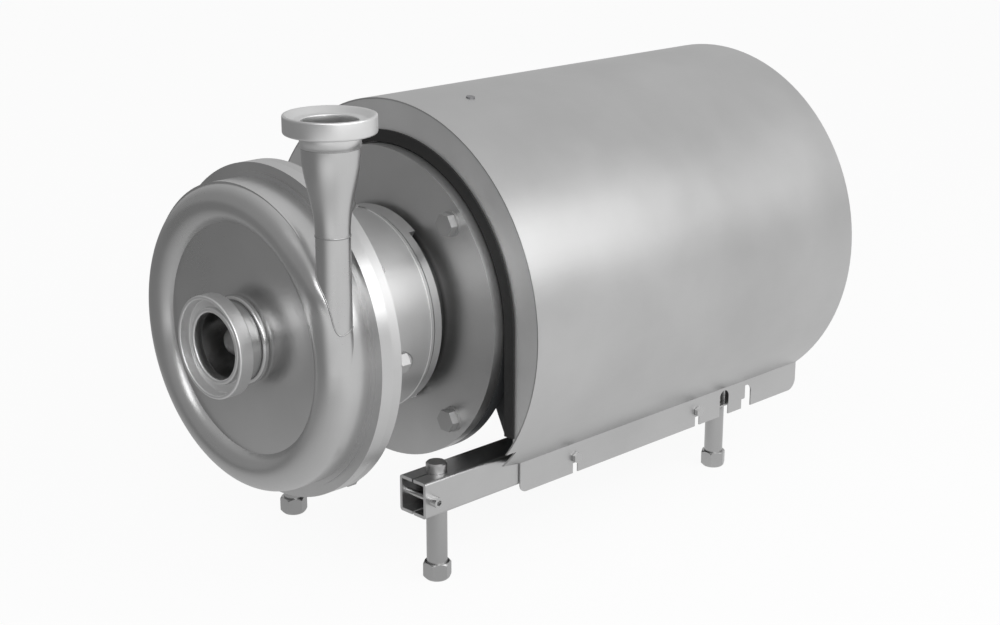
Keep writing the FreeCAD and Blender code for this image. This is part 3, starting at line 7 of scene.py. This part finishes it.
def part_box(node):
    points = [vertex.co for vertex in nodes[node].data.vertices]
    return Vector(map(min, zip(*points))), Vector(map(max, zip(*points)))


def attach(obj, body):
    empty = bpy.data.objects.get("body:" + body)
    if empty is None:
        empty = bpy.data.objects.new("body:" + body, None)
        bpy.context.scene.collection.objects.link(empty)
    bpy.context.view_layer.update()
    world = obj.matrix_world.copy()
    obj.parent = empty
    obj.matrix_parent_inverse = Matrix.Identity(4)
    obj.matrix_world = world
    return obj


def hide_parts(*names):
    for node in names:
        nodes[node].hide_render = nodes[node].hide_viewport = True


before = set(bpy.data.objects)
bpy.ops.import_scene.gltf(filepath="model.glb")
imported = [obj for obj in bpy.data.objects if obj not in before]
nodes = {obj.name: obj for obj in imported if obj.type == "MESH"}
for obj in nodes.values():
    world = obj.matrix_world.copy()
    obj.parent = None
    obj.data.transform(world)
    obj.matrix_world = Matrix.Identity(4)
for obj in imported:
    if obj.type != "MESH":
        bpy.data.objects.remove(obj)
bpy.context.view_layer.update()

# Places read from the frame, in metres: the shaft's height and the motor flange's face
disc_low, disc_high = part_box("adaptor")
SHAFT_Z = (disc_low.z + disc_high.z) / 2
FLANGE_Y = disc_high.y


# Camera, at the photograph's angle

CAMERA_TURN = math.radians(44.1)
CAMERA_RISE = math.radians(17.21)
CAMERA_ROLL = math.radians(0.61)
CAMERA_BACK = 1.7318
CAMERA_RIGHT = 0.1724
CAMERA_DOWN = 0.0037
TARGET_FORWARD = 0.027
CAMERA_TARGET = Vector((0, FLANGE_Y - TARGET_FORWARD, SHAFT_Z))
IMAGE_WIDTH = 1000
SENSOR = 36.0
FOCAL_PIXELS = 1834.1
CENTRE_RIGHT_PIXELS = 55.2
CENTRE_UP_PIXELS = 2.1


def add_camera():
    back = Vector((math.sin(CAMERA_TURN) * math.cos(CAMERA_RISE),
                   -math.cos(CAMERA_TURN) * math.cos(CAMERA_RISE), math.sin(CAMERA_RISE)))
    level = Vector((math.cos(CAMERA_TURN), math.sin(CAMERA_TURN), 0))
    upright = back.cross(level)
    right = level * math.cos(CAMERA_ROLL) + upright * math.sin(CAMERA_ROLL)
    up = upright * math.cos(CAMERA_ROLL) - level * math.sin(CAMERA_ROLL)
    data = bpy.data.cameras.new("camera")
    data.sensor_width = SENSOR
    data.lens = SENSOR * FOCAL_PIXELS / IMAGE_WIDTH
    data.shift_x = -CENTRE_RIGHT_PIXELS / IMAGE_WIDTH
    data.shift_y = -CENTRE_UP_PIXELS / IMAGE_WIDTH
    camera = bpy.data.objects.new("camera", data)
    place = CAMERA_TARGET + back * CAMERA_BACK + level * CAMERA_RIGHT - upright * CAMERA_DOWN
    turn = Matrix((right, up, back)).transposed()
    camera.matrix_world = Matrix.Translation(place) @ turn.to_4x4()
    bpy.context.scene.collection.objects.link(camera)
    bpy.context.scene.camera = camera


# Shader nodes

MIX_FACTOR = 0
MIX_NUMBERS = (2, 3)         # the Mix node's two inputs for numbers
MIX_COLOURS = (6, 7)         # and its two for colours
MIXED_NUMBER, MIXED_COLOUR = 0, 2


def set_inputs(tree, node, inputs):
    """Links these inputs where the value is another node's output, and sets the rest."""
    for key, value in inputs.items():
        if isinstance(value, bpy.types.NodeSocket):
            tree.links.new(value, node.inputs[key])
        else:
            node.inputs[key].default_value = value


def add_node(tree, kind, inputs, **settings):
    node = tree.nodes.new(kind)
    for name, value in settings.items():
        setattr(node, name, value)
    set_inputs(tree, node, inputs)
    return node


def coordinates(tree, output="Object"):
    return tree.nodes.new("ShaderNodeTexCoord").outputs[output]


def noise(tree, scale, detail, stretch=(1, 1, 1)):
    """Noise in object coordinates, stretched for grain."""
    mapping = add_node(tree, "ShaderNodeMapping", {"Vector": coordinates(tree), "Scale": stretch})
    inputs = {"Vector": mapping.outputs["Vector"], "Scale": scale, "Detail": detail}
    return add_node(tree, "ShaderNodeTexNoise", inputs).outputs["Fac"]


def ranged(tree, value, low, high, start=0.3, end=0.7):
    """Low where the value is at the start, high where it is at the end."""
    inputs = {"Value": value, "From Min": start, "From Max": end, "To Min": low, "To Max": high}
    return add_node(tree, "ShaderNodeMapRange", inputs).outputs["Result"]


def vector_maths(tree, operation, output, *values):
    node = add_node(tree, "ShaderNodeVectorMath", dict(enumerate(values)), operation=operation)
    return node.outputs[output]


def arithmetic(tree, operation, *values):
    return add_node(tree, "ShaderNodeMath", dict(enumerate(values)), operation=operation).outputs[0]


def along(tree, place, axis, start, end, low, high):
    """A value that goes from low to high along an axis."""
    return ranged(tree, vector_maths(tree, "DOT_PRODUCT", "Value", place, axis), low, high, start, end)


def mix_numbers(tree, factor, normal, chosen):
    """The chosen value where the factor is 1, and the normal one where it is 0."""
    inputs = {MIX_FACTOR: factor, MIX_NUMBERS[0]: normal, MIX_NUMBERS[1]: chosen}
    return add_node(tree, "ShaderNodeMix", inputs).outputs[MIXED_NUMBER]


def mix_colours(tree, factor, normal, chosen):
    inputs = {MIX_FACTOR: factor, MIX_COLOURS[0]: normal, MIX_COLOURS[1]: chosen}
    return add_node(tree, "ShaderNodeMix", inputs, data_type="RGBA").outputs[MIXED_COLOUR]


def mottled(tree, cloud, colour, spread):
    """The colour made darker and lighter by its spread, in clouds."""
    dark, light = [(*(c * share for c in colour), 1) for share in (1 - spread, 1 + spread)]
    return mix_colours(tree, ranged(tree, cloud, 0, 1), dark, light)


def bumped(tree, height, strength, distance):
    inputs = {"Height": height, "Strength": strength, "Distance": distance}
    return add_node(tree, "ShaderNodeBump", inputs).outputs["Normal"]


def start_material(name):
    material = bpy.data.materials.new(name)
    material.use_nodes = True
    tree = material.node_tree
    return material, tree, tree.nodes["Principled BSDF"]


# Materials

CLOUD_DETAIL = 4
STEEL_CLOUD_SCALE, STEEL_GRAIN_DETAIL = 9, 2
STEEL_GLOSS = (0.86, 1.14)       # shares of the roughness where the surface is shiniest and dullest
STEEL_GLOSS_RANGE = (0.1, 0.9)
FINE_SHARE = CLOUD_SHARE = 0.5   # what grain and clouds each add to the unevenness of the gloss
STEEL_BUMP = 0.0003              # depth in metres
PLAIN_CLOUD_SCALE, PLAIN_SKIN_DETAIL = 14, 3
PLAIN_GLOSS = (0.9, 1.1)
PLAIN_BUMP = 0.0004


def steel(name, colour, roughness, grain=(1, 1, 1), grain_scale=700, bump=0.1, spread=0.06):
    """Stainless steel: cloudy colour and roughness, with grain that runs the way it was finished."""
    material, tree, shader = start_material(name)
    cloud = noise(tree, STEEL_CLOUD_SCALE, CLOUD_DETAIL)
    fine = noise(tree, grain_scale, STEEL_GRAIN_DETAIL, grain)
    uneven = arithmetic(tree, "MULTIPLY_ADD", fine, FINE_SHARE, ranged(tree, cloud, 0, CLOUD_SHARE))
    shiny, dull = [roughness * share for share in STEEL_GLOSS]
    set_inputs(tree, shader, {
        "Metallic": 1.0,
        "Base Color": mottled(tree, cloud, colour, spread),
        "Roughness": ranged(tree, uneven, shiny, dull, *STEEL_GLOSS_RANGE),
        "Normal": bumped(tree, fine, bump, STEEL_BUMP),
    })
    return material


def plain(name, colour, roughness, bump_scale=400, bump=0.1, spread=0.15):
    """Rubber, paint, casting or moulded plastic: mottled colour, uneven gloss and a fine skin."""
    material, tree, shader = start_material(name)
    cloud = noise(tree, PLAIN_CLOUD_SCALE, CLOUD_DETAIL)
    fine = noise(tree, bump_scale, PLAIN_SKIN_DETAIL)
    shiny, dull = [roughness * share for share in PLAIN_GLOSS]
    set_inputs(tree, shader, {
        "Base Color": mottled(tree, cloud, colour, spread),
        "Roughness": ranged(tree, cloud, shiny, dull),
        "Normal": bumped(tree, fine, bump, PLAIN_BUMP),
    })
    return material


def grey(tone):
    return (tone,) * 3


BASE = grey(0.55)

# Grain runs along the axes whose number is small
GRAIN_ALONG = (1, 0.02, 1)
GRAIN_UPRIGHT = (1, 1, 0.02)
GRAIN_AROUND = (0.02, 1, 0.02)
GRAIN_LEG = (1, 1, 0.05)

materials = {
    "casing": steel("steel_satin", grey(0.6), 0.3, grain_scale=500, bump=0.012),
    "union": steel("steel_turned", BASE, 0.24, bump=0.012),
    "shroud": steel("steel_sheet", BASE, 0.39, grain=GRAIN_ALONG, grain_scale=500, bump=0.08),
    "plate": steel("steel_plate", grey(0.78), 0.5, grain=GRAIN_UPRIGHT, bump=0.05),
    "guard": steel("steel_guard", grey(0.6), 0.45, grain=GRAIN_AROUND, bump=0.05),
    "adaptor": steel("steel_cast", grey(0.59), 0.42, grain_scale=600, bump=0.06, spread=0.08),
    "bar": steel("steel_bar", BASE, 0.36, grain=GRAIN_ALONG, grain_scale=500, bump=0.08),
    "bright": steel("steel_bright", BASE, 0.25, bump=0.02),
    "dull": steel("steel_dull", grey(0.43), 0.42, bump=0.05),
    "leg": steel("steel_leg", grey(0.45), 0.3, grain=GRAIN_LEG, bump=0.06),
    "bolt": steel("steel_bolt", grey(0.5), 0.55, bump=0.05),
    "core": steel("steel_core", (0.3, 0.3, 0.31), 0.4),
    "ring": steel("steel_ring", grey(0.78), 0.4, bump=0.02),
    # painted shade: the impeller and its nut get a dark steel for their place deep in the bore
    "painted_bore_shade": steel("steel_painted_bore_shade", grey(0.3), 0.5, bump=0.02),
    "rubber": plain("rubber_black", grey(0.012), 0.6, bump=0.15),
    "plastic": plain("plastic_black", (0.02, 0.02, 0.021), 0.45),
    "paint": plain("motor_paint", (0.045, 0.047, 0.05), 0.4, bump_scale=250, bump=0.2),
    "copper": plain("winding_varnish", (0.4, 0.13, 0.04), 0.35),
    "carbon": plain("seal_carbon", grey(0.02), 0.3),
}

FINISHES = {
    "casing": ("pump_casing", "back_plate", "outlet_reducer"),
    "union": ("inlet_union", "outlet_union"),
    "painted_bore_shade": ("impeller", "impeller_nut"),
    "shroud": ("shroud_shell",),
    "plate": ("shroud_front_plate", "shroud_rear_plate"),
    "guard": ("guard_right", "guard_left"),
    "adaptor": ("adaptor",),
    "bar": ("leg_bar_left", "leg_bar_right"),
    "dull": ("cap_nuts",),
    "bolt": ("adaptor_bolts", "adaptor_washers"),
    "bright": ("casing_studs", "guard_screws", "adaptor_nuts", "coupling_screws",
               "terminal_lid_screws", "fan_cowl_screws", "motor_foot_bolts", "leg_clamp_screws",
               "shroud_bolts", "pump_shaft", "coupling_rings", "seal_drive_ring"),
    "leg": tuple(f"{part}_{end}_{side}" for part in ("leg", "foot")
                 for end in ("front", "rear") for side in ("right", "left")),
    "core": ("shroud_plug", "stator_core", "rotor_core", "motor_shaft", "bearing_inner_rings",
             "bearing_outer_rings"),
    "rubber": ("casing_o_ring", "front_edge_trim", "rear_edge_trim", "seal_bellows",
               "shaft_lip_seal"),
    "plastic": ("cooling_fan", "cable_glands"),
    "paint": ("drive_end_shield", "motor_frame", "rear_end_shield", "terminal_box",
              "terminal_box_lid", "fan_cowl"),
    "copper": ("stator_windings",),
    "carbon": ("seal_ring", "seal_seat"),
}

# Painted shade round the adaptor's neck, in metres: full painted shade up to the first radius, the
# casting's own colour from the second
NECK_R, NECK_SHADE_R = 0.084, 0.089
NECK_FRONT_Y = FLANGE_Y - 0.0262
NECK_EDGE = 0.0002           # over which the shade begins
NECK_SHADE = (*grey(0.2), 1)


def paint_neck_shade():
    """Painted shade on the adaptor: its colour is darkened round its neck, behind the rim, where shade
    falls.
    """
    tree = materials["adaptor"].node_tree
    shader = tree.nodes["Principled BSDF"]
    colour = shader.inputs["Base Color"].links[0].from_socket
    place = coordinates(tree)
    across = vector_maths(tree, "MULTIPLY_ADD", "Vector", place, (1, 0, 1), (0, 0, -SHAFT_Z))
    radius = vector_maths(tree, "LENGTH", "Value", across)
    near = ranged(tree, radius, 1, 0, NECK_R, NECK_SHADE_R)
    behind = along(tree, place, (0, 1, 0), NECK_FRONT_Y - NECK_EDGE, NECK_FRONT_Y, low=0, high=1)
    factor = arithmetic(tree, "MULTIPLY", near, behind)
    set_inputs(tree, shader, {"Base Color": mix_colours(tree, factor, colour, NECK_SHADE)})


def finish_nodes():
    for finish, names in FINISHES.items():
        for name in names:
            slots = nodes[name].data.materials
            slots.clear()
            slots.append(materials[finish])


# Pieces in mesh code: the outlet's foot and its seam, the two unions with rounded rims, the guards'
# beads, the neck's collar and the weld beads. Their measures are those of the part's source, in
# millimetres: forwards from the motor flange's face, or upwards from the shaft.

INLET_FRONT, INLET_BACK, INLET_RECESS, INLET_RIM = 214.4, 199.8, 204.0, 209.0
INLET_RING_R, INLET_RECESS_R, INLET_RIM_R, INLET_BORE_R = 46.7, 43.1, 35.0, 30.2
OUTLET_X, OUTLET_A = 124.0, 172.0
STUB_TOP, REDUCER_TOP, OUTLET_RING, OUTLET_TOP, OUTLET_SEAT = 118.0, 193.0, 204.0, 219.7, 214.7
STUB_R, OUTLET_NECK_R, OUTLET_RING_R, OUTLET_LIP_R = 14.8, 25.5, 39.0, 36.4
OUTLET_SEAT_R, OUTLET_BORE_R = 30.0, 23.9
BULGE_R, BULGE_TUBE_R, BULGE_A = 122.7, 18.5, 171.1

# Corners of the unions' outlines: radius, place and rounding
INLET_CORNERS = (
    (INLET_BORE_R, INLET_BACK, 0), (INLET_RING_R, INLET_BACK, 1.4), (INLET_RING_R, INLET_FRONT, 1.7),
    (INLET_RECESS_R, INLET_FRONT, 1.7), (INLET_RECESS_R, INLET_RECESS, 1.2),
    (INLET_RIM_R, INLET_RECESS, 1.2), (INLET_RIM_R, INLET_RIM, 2.2), (INLET_BORE_R, INLET_RIM, 2.2),
)
OUTLET_CORNERS = (
    (OUTLET_BORE_R, REDUCER_TOP, 0), (OUTLET_NECK_R, REDUCER_TOP, 0), (OUTLET_NECK_R, OUTLET_RING, 2.5),
    (OUTLET_RING_R, OUTLET_RING, 2.4), (OUTLET_RING_R, OUTLET_TOP, 1.8), (OUTLET_LIP_R, OUTLET_TOP, 1.2),
    (OUTLET_SEAT_R, OUTLET_SEAT, 1.5), (OUTLET_BORE_R, OUTLET_SEAT, 1.0),
)

# Sections of the collar and the weld beads: radius, place, and half of the height and the length
NECK_COLLAR = (36.6, 181.2, 4.6, 4.4)
NECK_BEAD = (36.1, INLET_BACK, 0.9, 1.1)
STUB_BEAD = (STUB_R, STUB_TOP, 0.45, 0.9)
REDUCER_BEAD = (24.9, REDUCER_TOP, 0.35, 0.8)
WELD_RIPPLE = 0.15               # how much thicker every other section of a weld bead is

# The swelling round the outlet's foot is the sum of two: height in millimetres, then middle and
# reach round the shaft, and middle and reach round the bulge's own section, in degrees
SWELLINGS = ((9.0, 30, 12, 38, 34), (2.0, 16, 8, -10, 30))
FOOT_TURN, FOOT_ROWS = (-6, 72), 90          # start and span in degrees, and steps
FOOT_TUBE, FOOT_COLUMNS = (-60, 200), 80
SUNK = 0.15                      # so that the skin's edge lies just under the bulge

SEAM_TURN, SEAM_STEP = range(-25, 116), 2    # steps of this many degrees round the stub
SEAM_TOP, SEAM_LOWEST, SEAM_DROP = STUB_TOP - 1, 5, 0.1
SEAM_BEAD = 0.7

GUARD_MIDDLES = {"right": 0, "left": 180}
GUARD_TURN, GUARD_STEP = range(-56, 57), 1.5
GUARD_R, GUARD_BEAD_A, GUARD_BEAD = 97.1, 40.2, 0.7

SEGMENTS = 160
CORNER_STEPS = 5
OVAL_SIDES = 16
BEAD_SIDES = 8
BEAD_END = 0.05                  # share of its radius that a bead shrinks to at its ends
MM_PER_METRE = 1000


def frame_place(x, forwards, upwards):
    return Vector((x / MM_PER_METRE, FLANGE_Y - forwards / MM_PER_METRE, SHAFT_Z + upwards / MM_PER_METRE))


def round_angles(count):
    return [2 * math.pi * k / count for k in range(count)]


def rounded(corners):
    """Closed outline through corners (radius, place, rounding), each rounded by an arc-like curve."""
    outline = []
    for k, (r, height, rounding) in enumerate(corners):
        here = Vector((r, height))
        before = (Vector(corners[k - 1][:2]) - here).normalized() * rounding
        after = (Vector(corners[(k + 1) % len(corners)][:2]) - here).normalized() * rounding
        steps = CORNER_STEPS if rounding else 0
        for step in range(steps + 1):
            t = step / steps if steps else 0.5
            outline.append(here + before * (1 - t) ** 2 + after * t ** 2)
    return outline


def oval(r, height, half_r, half_height):
    return [Vector((r + half_r * math.cos(t), height + half_height * math.sin(t)))
            for t in round_angles(OVAL_SIDES)]


def add_piece(name, points, faces, finish):
    mesh = bpy.data.meshes.new(name)
    mesh.from_pydata(points, [], faces)
    mesh.shade_smooth()
    piece = bpy.data.objects.new(name, mesh)
    bpy.context.scene.collection.objects.link(piece)
    mesh.materials.append(materials[finish])
    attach(piece, "base")
    return piece


def turned_piece(name, outline, centre, axis, finish, slot, ripple=0.0):
    """An outline in millimetres turned about an axis through a centre in metres."""
    spin = Vector(axis).to_track_quat("Z", "Y").to_matrix()
    middle = sum(outline, Vector((0, 0))) / len(outline)
    points, faces = [], []
    for k, angle in enumerate(round_angles(SEGMENTS)):
        growth = 1 + ripple * (k % 2)
        for point in outline:
            r, height = middle + (point - middle) * growth
            turned = Vector((r * math.cos(angle), r * math.sin(angle), height))
            points.append(centre + spin @ turned / MM_PER_METRE)
    count = len(outline)
    for k in range(SEGMENTS):
        for n in range(count):
            a, b = k * count, (k + 1) % SEGMENTS * count
            faces.append((a + n, b + n, b + (n + 1) % count, a + (n + 1) % count))
    return add_piece(name, points, faces, finish)


def bead_piece(name, line, bead_radius, finish):
    """A thin bead along a line of points in metres, with its ends drawn in."""
    points, faces = [], []
    last = len(line) - 1
    side = (line[1] - line[0]).normalized().orthogonal()
    for k, point in enumerate(line):
        forward = (line[min(k + 1, last)] - line[max(k - 1, 0)]).normalized()
        side = (side - forward * side.dot(forward)).normalized()
        other = forward.cross(side)
        size = bead_radius / MM_PER_METRE * (BEAD_END if k in (0, last) else 1)
        for angle in round_angles(BEAD_SIDES):
            points.append(point + (side * math.cos(angle) + other * math.sin(angle)) * size)
    for k in range(last):
        for n in range(BEAD_SIDES):
            a, b = k * BEAD_SIDES, (k + 1) * BEAD_SIDES
            following = (n + 1) % BEAD_SIDES
            faces.append((a + n, a + following, b + following, b + n))
    faces.append(tuple(range(BEAD_SIDES - 1, -1, -1)))
    faces.append(tuple(len(points) - BEAD_SIDES + n for n in range(BEAD_SIDES)))
    add_piece(name, points, faces, finish)


def swell(turn, tube):
    """How far the bulge stands out round the foot of the outlet, in mm, at two angles in degrees."""
    return sum(height * math.exp(-((turn - turn_middle) / turn_reach) ** 2
                                 - ((tube - tube_middle) / tube_reach) ** 2)
               for height, turn_middle, turn_reach, tube_middle, tube_reach in SWELLINGS)


def outlet_foot():
    """The volute's swelling where the outlet leaves: a skin over the bulge that ends flush in it."""
    points, faces = [], []
    turn_start, turn_span = FOOT_TURN
    tube_start, tube_span = FOOT_TUBE
    for i in range(FOOT_ROWS + 1):
        turn = turn_start + turn_span * i / FOOT_ROWS
        for j in range(FOOT_COLUMNS + 1):
            tube = tube_start + tube_span * j / FOOT_COLUMNS
            radius = BULGE_TUBE_R + swell(turn, tube) - SUNK
            r = BULGE_R + radius * math.cos(math.radians(tube))
            x, upwards = r * math.cos(math.radians(turn)), r * math.sin(math.radians(turn))
            forwards = BULGE_A + radius * math.sin(math.radians(tube))
            points.append(frame_place(x, forwards, upwards))
    width = FOOT_COLUMNS + 1
    for i in range(FOOT_ROWS):
        for j in range(FOOT_COLUMNS):
            k = i * width + j
            faces.append((k, k + 1, k + 1 + width, k + width))
    add_piece("outlet_foot", points, faces, "casing")


def foot_seam():
    """The seam where the outlet's stub goes into the swelling: found down each line of the stub."""
    line = []
    for k in SEAM_TURN:
        turn = math.radians(180 - SEAM_STEP * k)
        x, a = OUTLET_X + STUB_R * math.cos(turn), OUTLET_A + STUB_R * math.sin(turn)
        z = SEAM_TOP
        while z > SEAM_LOWEST:
            out, front = math.hypot(x, z) - BULGE_R, a - BULGE_A
            around_shaft, around_bulge = math.atan2(z, x), math.atan2(front, out)
            skin = BULGE_TUBE_R + swell(math.degrees(around_shaft), math.degrees(around_bulge))
            if math.hypot(out, front) < skin:
                break
            z -= SEAM_DROP
        line.append(frame_place(x, a, z))
    return line


def guard_bead(side, middle):
    angles = [math.radians(middle + GUARD_STEP * k) for k in GUARD_TURN]
    line = [frame_place(GUARD_R * math.cos(t), GUARD_BEAD_A, GUARD_R * math.sin(t)) for t in angles]
    bead_piece(f"guard_bead_{side}", line, GUARD_BEAD, "ring")


def add_pieces():
    outlet_foot()
    inlet = (frame_place(0, 0, 0), (0, -1, 0))                   # a point on the axis, and its way
    outlet = (frame_place(OUTLET_X, OUTLET_A, 0), (0, 0, 1))
    ring = turned_piece("inlet_union_ring", rounded(INLET_CORNERS), *inlet, "ring", "stainless_turned")
    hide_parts("inlet_union")
    ring = turned_piece("outlet_union_ring", rounded(OUTLET_CORNERS), *outlet, "ring", "stainless_turned")
    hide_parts("outlet_union")
    bead_piece("foot_seam", foot_seam(), SEAM_BEAD, "dull")
    for side, middle in GUARD_MIDDLES.items():
        guard_bead(side, middle)
    turned_piece("neck_collar", oval(*NECK_COLLAR), *inlet, "union", "stainless_turned")
    turned_piece("neck_bead", oval(*NECK_BEAD), *inlet, "dull", "stainless_turned", WELD_RIPPLE)
    turned_piece("stub_bead", oval(*STUB_BEAD), *outlet, "dull", "stainless_satin", WELD_RIPPLE)
    turned_piece("reducer_bead", oval(*REDUCER_BEAD), *outlet, "dull", "stainless_satin", WELD_RIPPLE)


# Floor, light and background

FLOOR_SIZE = 6.0
FLOOR_GLOW = 0.93                # how far the camera sees the floor as plain white
FLOOR_MIRRORED = 0.9             # how far metal sees the floor's glow, which carries a painted lit side and a painted pool of light
PAINTED_LIT_SIDE = (0.64, 0.77, 0)    # the side of the floor toward the lamps, where its painted light is brightest for metal
PAINTED_LIGHT_POOL = (0.75, -1.45, 0)   # painted pool of light on the floor near the camera, seen by metal
BRIGHT_BACK = (0.2, 0.75, 0.6)   # the paler side of the room


def add_floor():
    mesh = bpy.data.meshes.new("floor")
    half = FLOOR_SIZE
    corners = [(-half, -half, 0), (half, -half, 0), (half, half, 0), (-half, half, 0)]
    mesh.from_pydata(corners, [], [(0, 1, 2, 3)])
    floor = bpy.data.objects.new("floor", mesh)
    bpy.context.scene.collection.objects.link(floor)
    material, tree, shader = start_material("floor_white")
    set_inputs(tree, shader, {"Base Color": (*grey(0.8), 1), "Roughness": 0.9})
    place = coordinates(tree)
    path = tree.nodes.new("ShaderNodeLightPath")
    camera, glossy = path.outputs["Is Camera Ray"], path.outputs["Is Glossy Ray"]
    # Painted light for metal: the floor's glow grows toward the lamps' side and in a pool near the camera
    tone = along(tree, place, PAINTED_LIT_SIDE, start=-0.9, end=0.25, low=0.2, high=0.84)
    distance = vector_maths(tree, "DISTANCE", "Value", place, PAINTED_LIGHT_POOL)
    painted_pool = ranged(tree, distance, low=0.7, high=0, start=0.25, end=0.9)
    level = arithmetic(tree, "MAXIMUM", arithmetic(tree, "ADD", tone, painted_pool), camera)
    glow = add_node(tree, "ShaderNodeEmission", {"Strength": level})
    seen = arithmetic(tree, "MULTIPLY", camera, FLOOR_GLOW)
    mirrored = arithmetic(tree, "MULTIPLY", glossy, FLOOR_MIRRORED)
    factor = arithmetic(tree, "MAXIMUM", seen, mirrored)
    surfaces = {0: factor, 1: shader.outputs[0], 2: glow.outputs[0]}
    mix = add_node(tree, "ShaderNodeMixShader", surfaces)
    set_inputs(tree, tree.nodes["Material Output"], {"Surface": mix.outputs[0]})
    mesh.materials.append(material)


def add_world():
    """White for the camera; for metal a studio that is darker at the front left."""
    world = bpy.data.worlds.new("studio")
    world.use_nodes = True
    tree = world.node_tree
    path = tree.nodes.new("ShaderNodeLightPath")
    direction = coordinates(tree, "Generated")
    sky = along(tree, direction, (0, 0, 1), start=0, end=0.9, low=0.85, high=0.5)
    room = along(tree, direction, BRIGHT_BACK, start=-0.2, end=0.8, low=0.33, high=0.72)
    light = mix_numbers(tree, path.outputs["Is Glossy Ray"], sky, room)
    level = mix_numbers(tree, path.outputs["Is Camera Ray"], light, 1.0)
    set_inputs(tree, tree.nodes["Background"], {"Strength": level, "Color": (*grey(1), 1)})
    bpy.context.scene.world = world


LAMP_TARGET = Vector((0, -0.1, 0.25))


def add_lamp(name, side, rise, roll, distance, size, brightness):
    """A softbox seen from the pump at these angles, in degrees from straight in front."""
    side, rise = math.radians(side), math.radians(rise)
    away = Vector((math.sin(side) * math.cos(rise), -math.cos(side) * math.cos(rise), math.sin(rise)))
    data = bpy.data.lights.new(name, "AREA")
    data.shape = "RECTANGLE"
    data.size, data.size_y = size
    data.energy = brightness * math.pi * size[0] * size[1]
    lamp = bpy.data.objects.new(name, data)
    turn = away.to_track_quat("Z", "Y").to_matrix() @ Matrix.Rotation(math.radians(roll), 3, "Z")
    lamp.matrix_world = Matrix.Translation(LAMP_TARGET + away * distance) @ turn.to_4x4()
    lamp.visible_camera = False
    bpy.context.scene.collection.objects.link(lamp)


def add_light():
    add_lamp("lamp_right", side=98, rise=29, roll=0, distance=1.6, size=(2.1, 1.0), brightness=1.75)
    add_lamp("lamp_front", side=50, rise=31, roll=-33, distance=2.4, size=(2.9, 0.9), brightness=2.1)


add_camera()
# painted shade round the adaptor's neck
paint_neck_shade()
finish_nodes()
add_pieces()
add_floor()
add_world()
add_light()
bpy.context.scene.view_settings.view_transform = "Standard"
